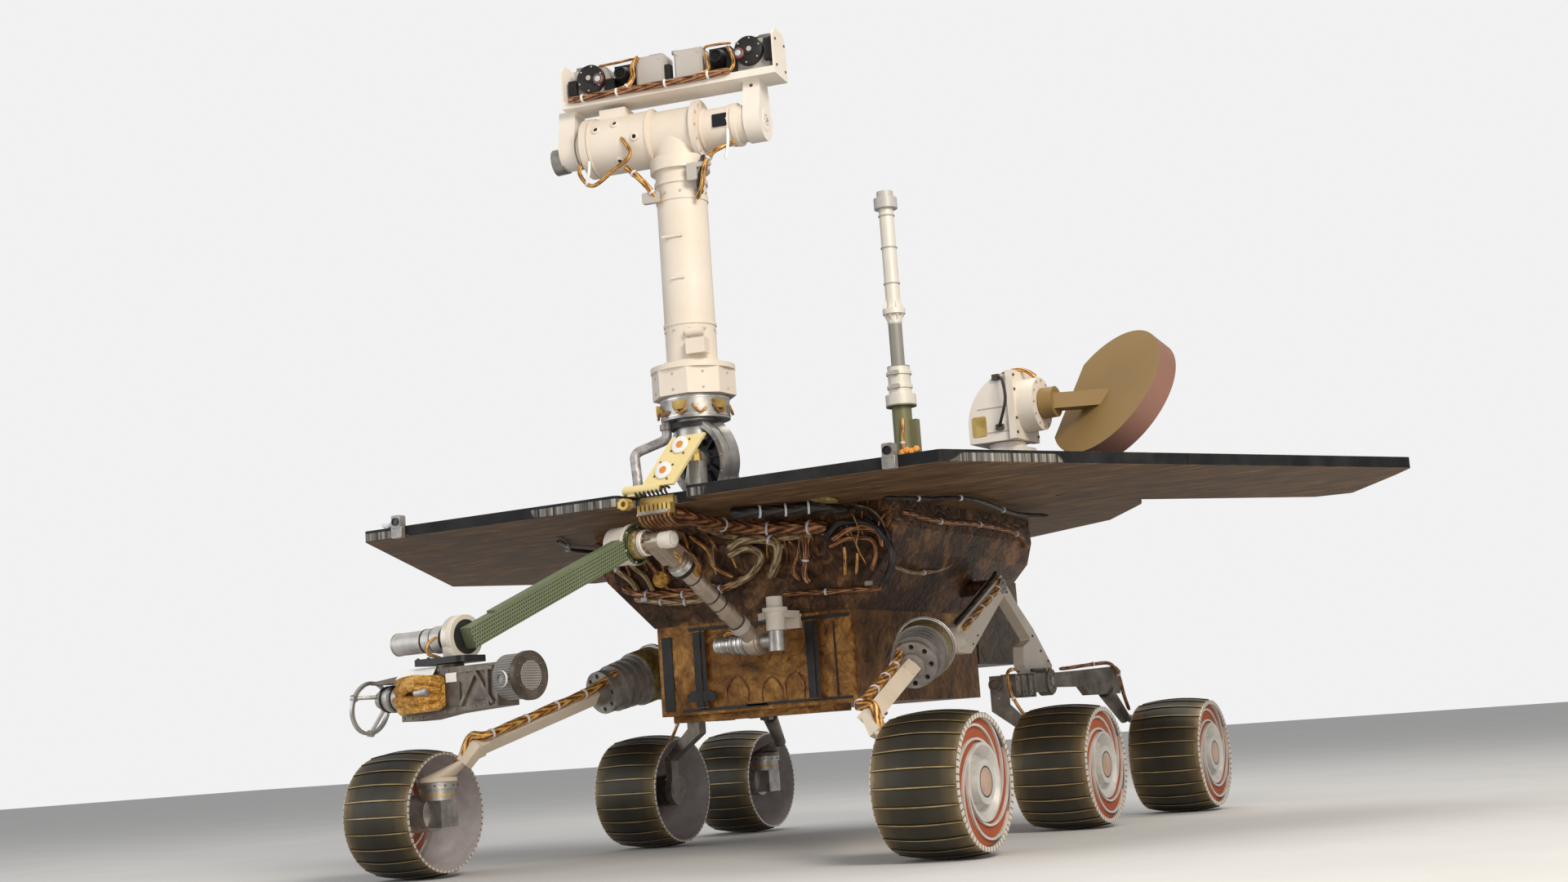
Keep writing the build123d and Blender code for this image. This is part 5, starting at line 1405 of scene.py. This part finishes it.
fitting(
    "tube_rings", "arm_upper",
    [
        lathe(down_tube(d), TUBE_WAY, [(-w, 17), (-w + 0.4, 18.6), (w - 0.4, 18.6), (w, 17)], 32)
        for d, w in ((120, 1.5), (182, 1.6), (208, 1.2), (268, 1.6))
    ],
    STEEL,
)
turned(
    "tube_wide_ring", "arm_upper", COVER_GREY, down_tube(278), TUBE_WAY,
    [(-9, 17), (-8, 20), (8, 20), (9, 17)], 32,
)
turned(
    "tube_silver_collar", "arm_upper", BRIGHT, down_tube(74), TUBE_WAY,
    [(-7, 20), (-7, 24.5), (5, 24.5), (7, 21)], 32,
)
turned(
    "tube_black_collar", "arm_upper", BLACK_METAL, down_tube(86), TUBE_WAY,
    [(-6, 19), (-5, 23.4), (4, 23.4), (5, 20)], 32,
)
fitting(
    "tube_gold_plate", "arm_upper",
    [slab(down_tube(104) + Vector((0.02, -0.006, 0.006)), TUBE_WAY, UP, box_outline(30, 18, 3), 5)],
    GOLD_FOIL,
)
cable(
    "elbow_wires", "arm_upper",
    [arm(-4, -262, 578), arm(14, -256, 580), arm(20, -244, 570), arm(16, -236, 560)], 5.0, GOLD_CABLE, 3,
)
turned(
    "elbow_gold_ring", "arm_upper", OLIVE_FOIL, arm(-48, *ELBOW), ARM_SIDE,
    [(-3, 27), (-2, 28.5), (8, 28.5), (10, 26.4)], 40,
)
turned(
    "elbow_white_ring", "arm_upper", WHITE, arm(-30, *ELBOW), ARM_SIDE,
    [(-3, 22), (-2, 25), (6, 25), (8, 22)], 40,
)
fitting(
    "elbow_ring_bolts", "arm_upper",
    bolt_circle(arm(-21.8, *ELBOW), ARM_SIDE, 20, 10, 2.2)
    + upright(
        arm, ARM_SIDE,
        [(-16 + 9 * k, ELBOW[0] - 19 + 3 * k, ELBOW[1] + 4, box_outline(7, 4, 1), 3) for k in range(3)],
    ),
    STEEL,
)
turned(
    "elbow_cap", "arm_upper", WHITE, arm(-4, *ELBOW), ARM_SIDE,
    [(-2, 15.2), (0, 16.4), (40, 16.4), (44, 14.6), (45.4, 11), (45.6, 0)], 36,
)
turned(
    "elbow_cover", "arm_fore", WHITE, arm(-104, *ELBOW), ARM_SIDE,
    [(-5.6, 29), (-6, 30.4), (-1, 30.6), (-0.4, 36.5), (40, 36.6), (42, 39.5), (51, 39.5), (52, 36)], 48,
)
fitting(
    "elbow_cover_bolts", "arm_fore",
    bolt_circle(arm(-109.8, *ELBOW), -ARM_SIDE, 24, 8, 2.4)
    + bolt_circle(arm(-52, *ELBOW), ARM_SIDE, 34, 6, 2.2, 0.4),
    COVER_GREY,
)
fitting(
    "wrist_rings", "arm_wrist",
    [
        lathe(
            arm(WRIST_FLANGE_X - d, *WRIST_PIN), -ARM_SIDE,
            [(-2, r - 2), (-2, r + 1.4), (2, r + 1.4), (2, r - 2)], 40,
        )
        for d, r in ((20, 21), (45, 22), (70, 20.5))
    ],
    BLACK_METAL,
)
fitting(
    "wrist_bolts", "arm_wrist",
    bolt_circle(arm(WRIST_FLANGE_X, *WRIST_PIN), -ARM_SIDE, 31, 10, 2.6)
    + bolt_circle(arm(-248, *WRIST_PIN), -ARM_SIDE, 12, 6, 2.2),
    BLACK_METAL,
)
turned(
    "wrist_cover", "arm_wrist", WHITE, arm(-78, *WRIST_PIN), -ARM_SIDE,
    [(-0.5, 37), (0, 38.8), (11, 38.8), (12, 37)], 48,
)
turned(
    "wrist_beam_ring", "arm_wrist", BLACK_METAL, arm(-78, *WRIST_PIN), ARM_SIDE,
    [(-1, 26), (-1, 30), (1.4, 30), (1.4, 26)], 44,
)
turned(
    "wrist_cap", "arm_wrist", SILVER, arm(-247.6, *WRIST_PIN), -ARM_SIDE,
    [(-4, 20.6), (0.4, 20.6), (1.4, 18), (1.4, 8), (3, 7), (3, 0)], 36,
)
fitting(
    "turret_plate_bolts", "arm_wrist",
    [bolt_head(arm(-95 + x, -727.8 + y, 396), UP, 3) for x in (-52, -26, 0) for y in (-25, 25)], STEEL,
)
cable(
    "wrist_wire", "arm_wrist",
    [arm(-110, -742, 432), arm(-122, -752, 420), arm(-118, -756, 404), arm(-100, -752, 398)], 3.0,
    GOLD_CABLE,
)
TUB_FRONT = -753.8
HUB_TOP = 383.7
fitting(
    "turret_rivets", "arm_turret",
    [
        bolt_head(arm(x, TUB_FRONT - 0.4, HUB_TOP - z), ARM_AHEAD, 1.9)
        for x, z in (
            (-118, 13), (-96, 11), (-74, 11), (-52, 11), (-30, 18), (38, 20), (38, 46), (38, 72),
            (12, 74), (-12, 75), (-36, 76), (-60, 78), (-84, 80), (-140, 87), (-166, 87), (-186, 86),
            (-186, 60), (-186, 34), (8, 20), (-16, 20),
        )
    ],
    GREY_METAL,
)
fitting(
    "turret_blank_plate", "arm_turret",
    [
        slab(
            arm(-146, TUB_FRONT - 6, HUB_TOP - 13), ARM_SIDE, arm_way(0, 0.62, 0.78),
            box_outline(88, 22, 2), 2.4,
        ),
        slab(arm(-66, TUB_FRONT - 0.4, HUB_TOP - 24), ARM_SIDE, UP, box_outline(26, 16, 1), 1.4),
    ],
    PLAIN_WHITE,
)
plates(
    "turret_frame", "arm_turret", STEEL, arm, ARM_SIDE,
    [
        (-60, TUB_FRONT - 0.4, HUB_TOP - 52, box_outline(30, 40, 2), 3),
        (8, TUB_FRONT - 0.4, HUB_TOP - 46, [(-20, -20), (16, -20), (-2, 14)], 2),
    ],
)
turned(
    "foil_plug", "arm_turret", SILVER, arm(-122, TUB_FRONT - 30, HUB_TOP - 46), arm_way(1, 0.1, 0.06),
    [(-1, 0), (0, 7), (18, 7.6), (20, 8.4), (27, 8.4), (28, 6), (28.4, 0)], 28,
)
# Folds of the foil bundle. row: radius, lobes, points as (arm x, ahead of the tub, below the hub's top)
FOIL_FOLDS = [
    (9.0, 4, [(-188, 2, 30), (-168, 22, 26), (-130, 27, 24), (-98, 22, 28), (-84, 6, 36)]),
    (8.0, 3, [(-190, 4, 44), (-170, 24, 40), (-140, 30, 36), (-104, 26, 38), (-84, 8, 46)]),
    (9.0, 4, [(-190, 4, 58), (-172, 26, 56), (-140, 31, 58), (-108, 28, 60), (-84, 8, 56)]),
    (8.0, 3, [(-188, 2, 72), (-166, 22, 72), (-132, 27, 72), (-100, 22, 70), (-84, 6, 66)]),
    (6.0, 3, [(-180, 20, 34), (-160, 30, 48), (-136, 33, 66), (-110, 27, 74)]),
    (5.0, 3, [(-176, 22, 66), (-156, 32, 52), (-134, 33, 36), (-112, 27, 28)]),
]
for index, (radius, lobes, route) in enumerate(FOIL_FOLDS):
    points = [arm(x, TUB_FRONT - out, HUB_TOP - below) for x, out, below in route]
    cable(f"foil_fold_{index}", "arm_turret", points, radius, GOLD_FOIL, lobes)
turned(
    "drum_boss_ring", "arm_turret", PLAIN_WHITE, arm(66, -771.4, HUB_TOP - 36), ARM_AHEAD,
    [(-3, 14.2), (-0.3, 14.4), (0.1, 13.4), (0.1, 8), (-3, 7.4)], 32,
)
turned(
    "drum_boss_glass", "arm_turret", DARK_GLASS, arm(66, -767.4, HUB_TOP - 36), ARM_AHEAD,
    [(-0.6, 7), (0.6, 6.8), (0.9, 0)], 24,
)
DRUM_AXIS = (-725.8, HUB_TOP - 32)
DRUM_END_X = 88
DRUM_END = arm(DRUM_END_X, *DRUM_AXIS)
turned(
    "drum_rim", "arm_turret", STEEL, DRUM_END, ARM_SIDE,
    [(-4.5, 34), (-4.5, 38), (-4.4, 41), (4.4, 41), (5.2, 38), (5.2, 34)], 48,
)
turned(
    "drum_face", "arm_turret", MESH_FACE, DRUM_END, ARM_SIDE,
    [(0, 35), (4.4, 35), (4.8, 25), (5.6, 24), (5.6, 0)], 48,
)
fitting(
    "drum_face_bolts", "arm_turret",
    bolt_circle(arm(DRUM_END_X + 4.6, *DRUM_AXIS), ARM_SIDE, 31, 10, 2.2), STEEL,
)
fitting(
    "grinder_bands", "arm_turret",
    [
        lathe(arm(x, -731.8, HUB_TOP - 49), ARM_SIDE, [(-2, 20), (-2, r), (2, r), (2, 20)], 36)
        for x, r in ((-222, 23), (-204, 23), (-246, 23.5))
    ],
    BLACK_METAL,
)
cable(
    "shoulder_wires", "arm_azimuth",
    [arm(-30, -20, 430), arm(-46, -24, 434), arm(-62, -18, 430), arm(-70, -8, 428)], 3.2, GOLD_CABLE,
)
fitting(
    "shoulder_bands", "arm_azimuth",
    [
        lathe(arm(x, 0, SHOULDER_Z), ARM_SIDE, [(-1.6, 15), (-1.6, r), (1.6, r), (1.6, 15)], 36)
        for x, r in ((-36, 23.4), (-24, 26.2), (-60, 18.2), (-78, 18.2))
    ],
    BRIGHT,
)
turned(
    "shoulder_cap", "arm_azimuth", WHITE, arm(-92, 0, SHOULDER_Z), -ARM_SIDE,
    [(0, 14.6), (5, 14.6), (7, 13), (7.6, 0)], 28,
)

# Struts, actuators, rockers and bogies: harness with ties, bolts, bands and straps
ROCKER_FACE_X, BOGIE_CAP_X, BOGIE_BLOCK_X = 356, 384.5, 386
BOGIE_PIVOT = (245, 304)
SUSPENSION_RUNS = [
    (
        "rocker_harness", 6.5, GOLD_CABLE, 3, (0.2, 0.4, 0.6, 0.8),
        [(360, -146, 414), (361, -92, 440), (361, -20, 472), (360, 36, 498), (354, 66, 522)],
    ),
    (
        "bogie_loop", 4.0, BROWN_CABLE, 3, (0.3, 0.6),
        [
            (392, 276, 330), (414, 344, 334), (446, 430, 338), (456, 462, 312), (458, 480, 268),
            (462, 498, 232),
        ],
    ),
    (
        "bogie_front_wire", 3.6, GOLD_CABLE, 0, (0.3, 0.7),
        [
            (386, 60, 326), (392, 20, 330), (392, -16, 322), (400, -30, 286), (420, -32, 246),
            (446, -32, 214),
        ],
    ),
]
for side, sign in SIDES:
    here = beside(sign)
    knee = here(428, -722, 247)
    end = here(360, -394, 341)
    strut_way = (knee - end).normalized()
    way = Vector((sign * 0.26, -0.93, -0.25)).normalized()
    inward = Vector((-sign * 0.62, 0.0, 0.6))
    route = [
        end - way * 0.02 + Vector((-sign * 0.026, 0, 0.036)), end + strut_way * 0.05 + inward * 0.034,
        end + strut_way * 0.14 + inward * 0.031, end + strut_way * 0.24 + inward * 0.031,
        knee + inward * 0.034, knee + inward * 0.018 + Vector((sign * 0.022, -0.01, 0.008)),
        here(455, -742, 226), here(478, -746, 205),
    ]
    cable(f"strut_harness_{side}", "chassis", route, 8.5, GOLD_CABLE, 4, (0.2, 0.32, 0.44, 0.56))
    side_out = strut_way.cross(Vector((sign * 0.75, -0.04, 0.66)).normalized()).normalized()
    bolts = [
        bolt_head(knee - strut_way * d / 1000 + side_out * s * 0.0163, side_out * s, 4.2)
        for d in (34, 60)
        for s in (1, -1)
    ]
    fitting(f"strut_bolts_{side}", "chassis", bolts, STEEL)
    start = end - way * 0.163
    fitting(
        f"actuator_pockets_{side}", "chassis", bolt_circle(end - way * 0.0088, way, 35, 8, 4.2),
        BLACK_METAL,
    )
    turned(
        f"actuator_drum_{side}", "chassis", OLIVE_FOIL, start + way * 0.009, way,
        [(0, 55.8), (1, 56.8), (52, 56.8), (54, 55)], 64,
    )
    fitting(f"actuator_bolts_{side}", "chassis", bolt_circle(end - way * 0.0985, way, 48, 14, 2.6), STEEL)
    turned(
        f"actuator_rim_{side}", "chassis", BRIGHT, start, way,
        [(-0.4, 57), (0, 60.8), (7, 60.8), (8.4, 57)], 64,
    )
    cables("chassis", here, SUSPENSION_RUNS, suffix=f"_{side}")
    cable(
        f"rocker_strap_{side}", "chassis",
        [
            here(350, -160, 426), here(350, -92, 456), here(350, -20, 490), here(349, 44, 521),
            here(346, 76, 538),
        ],
        5.5, BLACK_CABLE, slot="dark_metal",
    )
    fitting(
        f"rocker_bolts_{side}", "chassis",
        [
            bolt_head(here(ROCKER_FACE_X, y, z), (sign, 0, 0), r)
            for y, z, r in (
                (-150, 404, 4.4), (-150, 380, 4.4), (-132, 392, 3), (86, 508, 4), (100, 496, 3),
                (222, 404, 3.2), (262, 372, 3.2), (300, 350, 3.2), (-96, 384, 2.6), (-70, 402, 2.6),
            )
        ],
        STEEL,
    )
    turned(
        f"rocker_pivot_{side}", "chassis", GREY_METAL, here(ROCKER_FACE_X, 80, 509), (sign, 0, 0),
        [(-0.6, 17), (2.6, 17), (4, 15), (4, 9), (6, 8), (6.2, 0)], 36,
    )
    fitting(
        f"bogie_pivot_{side}", "chassis",
        bolt_circle(here(BOGIE_CAP_X + 0.1, *BOGIE_PIVOT), (sign, 0, 0), 19, 8, 2.8)
        + [
            lathe(
                here(BOGIE_CAP_X - 0.1, *BOGIE_PIVOT), (sign, 0, 0),
                [(-0.4, 11), (2, 11), (3, 9), (3.2, 0)], 24,
            )
        ],
        GREY_METAL,
    )
    cable(
        f"bogie_strip_{side}", "chassis", [here(384, 132, 328), here(384, 172, 328), here(384, 216, 329)],
        4.0, BLACK_CABLE, 0, (0.96,), BRASS, slot="dark_metal",
    )
    fitting(
        f"bogie_bolts_{side}", "chassis",
        [
            bolt_head(here(BOGIE_BLOCK_X + 0.4, y, z), (sign, 0, 0), 2.8)
            for y in (48, 84, 120)
            for z in (284, 310)
        ]
        + [
            bolt_head(here(x, -26.6, z), AHEAD, 2.8)
            for x, z in ((372, 306), (372, 272), (432, 214), (440, 200), (450, 150), (450, 126))
        ],
        GREY_METAL,
    )

# Wheels and steering: hub bolts, and bolts and brass bands round the steering drums
HUB_OUT, STEER_IN, STEER_Z = 76, 62, 183
for place, behind, half_track in WHEELS:
    for side, sign in SIDES:
        body = f"{place}_wheel_{side}"
        centre = at(sign * (half_track + HUB_OUT), behind, WHEEL_AXLE_Z)
        way = Vector((sign, 0, 0))
        name = f"hub_{place}_{side}"
        fitting(name + "_bolts", body, bolt_circle(centre + way * 0.0005, way, 29, 12, 2.8), STEEL)
        if place != "mid":
            drum = at(sign * (half_track - STEER_IN), behind, STEER_Z)
            fitting(
                f"steer_{place}_{side}_bolts", f"{place}_steering_{side}",
                [
                    bolt_head(
                        drum + Vector((0.0382 * math.cos(t), 0.0382 * math.sin(t), -0.006)),
                        (math.cos(t), math.sin(t), 0), 2,
                    )
                    for t in [math.tau * k / 12 for k in range(12)]
                ],
                STEEL,
            )
            turned(
                f"steer_{place}_{side}_band", f"{place}_steering_{side}", BRASS,
                drum - Vector((0, 0, 0.024)), UP, [(-2, 34), (-2, 35.6), (2, 35.6), (2, 34)], 44,
            )

# Stage: pale floor, soft lights, white surround for the camera only, and the camera


def floor_sheet():
    mesh = bpy.data.meshes.new("floor")
    size = 30.0
    mesh.from_pydata(
        [(-size, -size, 0), (size, -size, 0), (size, size, 0), (-size, size, 0)], [], [(0, 1, 2, 3)]
    )
    floor = bpy.data.objects.new("floor", mesh)
    bpy.context.collection.objects.link(floor)
    shader = Shader("floor_pale", rough=0.9, colour=(0.62, 0.6, 0.58))
    shader.colour(shader.ramp(shader.noise(3.0), [(0.3, (0.6, 0.585, 0.565)), (0.7, (0.64, 0.625, 0.605))]))
    mesh.materials.append(shader.mat)


def area_light(name, place, target, size, power, colour):
    light = bpy.data.lights.new(name, "AREA")
    light.energy = power
    light.size = size
    light.color = colour
    lamp = bpy.data.objects.new(name, light)
    bpy.context.collection.objects.link(lamp)
    lamp.location = place
    lamp.rotation_euler = (Vector(target) - Vector(place)).to_track_quat("-Z", "Y").to_euler()


def surround():
    world = bpy.data.worlds.new("surround")
    bpy.context.scene.world = world
    world.use_nodes = True
    tree = world.node_tree
    tree.nodes.clear()
    path = tree.nodes.new("ShaderNodeLightPath")
    mix = tree.nodes.new("ShaderNodeMixShader")
    plain = tree.nodes.new("ShaderNodeBackground")
    seen = tree.nodes.new("ShaderNodeBackground")
    out = tree.nodes.new("ShaderNodeOutputWorld")
    plain.inputs[0].default_value = (0.86, 0.88, 0.9, 1)
    plain.inputs[1].default_value = 0.55
    seen.inputs[0].default_value = (0.93, 0.93, 0.93, 1)
    seen.inputs[1].default_value = 0.95
    tree.links.new(path.outputs["Is Camera Ray"], mix.inputs[0])
    tree.links.new(plain.outputs[0], mix.inputs[1])
    tree.links.new(seen.outputs[0], mix.inputs[2])
    tree.links.new(mix.outputs[0], out.inputs[0])


floor_sheet()
surround()
area_light("key", (3.6, -2.6, 3.2), (0.2, -0.2, 0.6), 1.6, 165.0, (1.0, 0.93, 0.82))
area_light("fill", (-3.2, -3.4, 1.4), (0.0, 0.0, 0.6), 3.0, 44.0, (0.9, 0.94, 1.0))
area_light("low", (3.0, -3.4, 0.5), (0.0, -0.2, 0.3), 1.8, 34.0, (1.0, 0.95, 0.9))
area_light("top", (0.0, 1.2, 4.2), (0.0, 0.2, 0.5), 3.0, 70.0, (1.0, 0.98, 0.95))

camera_data = bpy.data.cameras.new("photo_camera")
camera_data.sensor_width = 36.0
camera_data.lens = 46.479
camera_data.clip_start = 0.05
camera_data.clip_end = 60.0
camera = bpy.data.objects.new("photo_camera", camera_data)
bpy.context.collection.objects.link(camera)
right = Vector((0.8692, 0.4897, -0.0695)).normalized()
ahead = Vector((-0.4765, 0.8668, 0.1473)).normalized()
above = right.cross(ahead).normalized()
# The camera's place and directions, fitted to the photograph
CAMERA_PLACE = mm(2040.84, -3898.39 + MID, 211.65)
turning = Matrix((right, above, -ahead)).transposed().to_4x4()
camera.matrix_world = Matrix.Translation(CAMERA_PLACE) @ turning
bpy.context.scene.camera = camera
bpy.context.scene.view_settings.view_transform = "Standard"
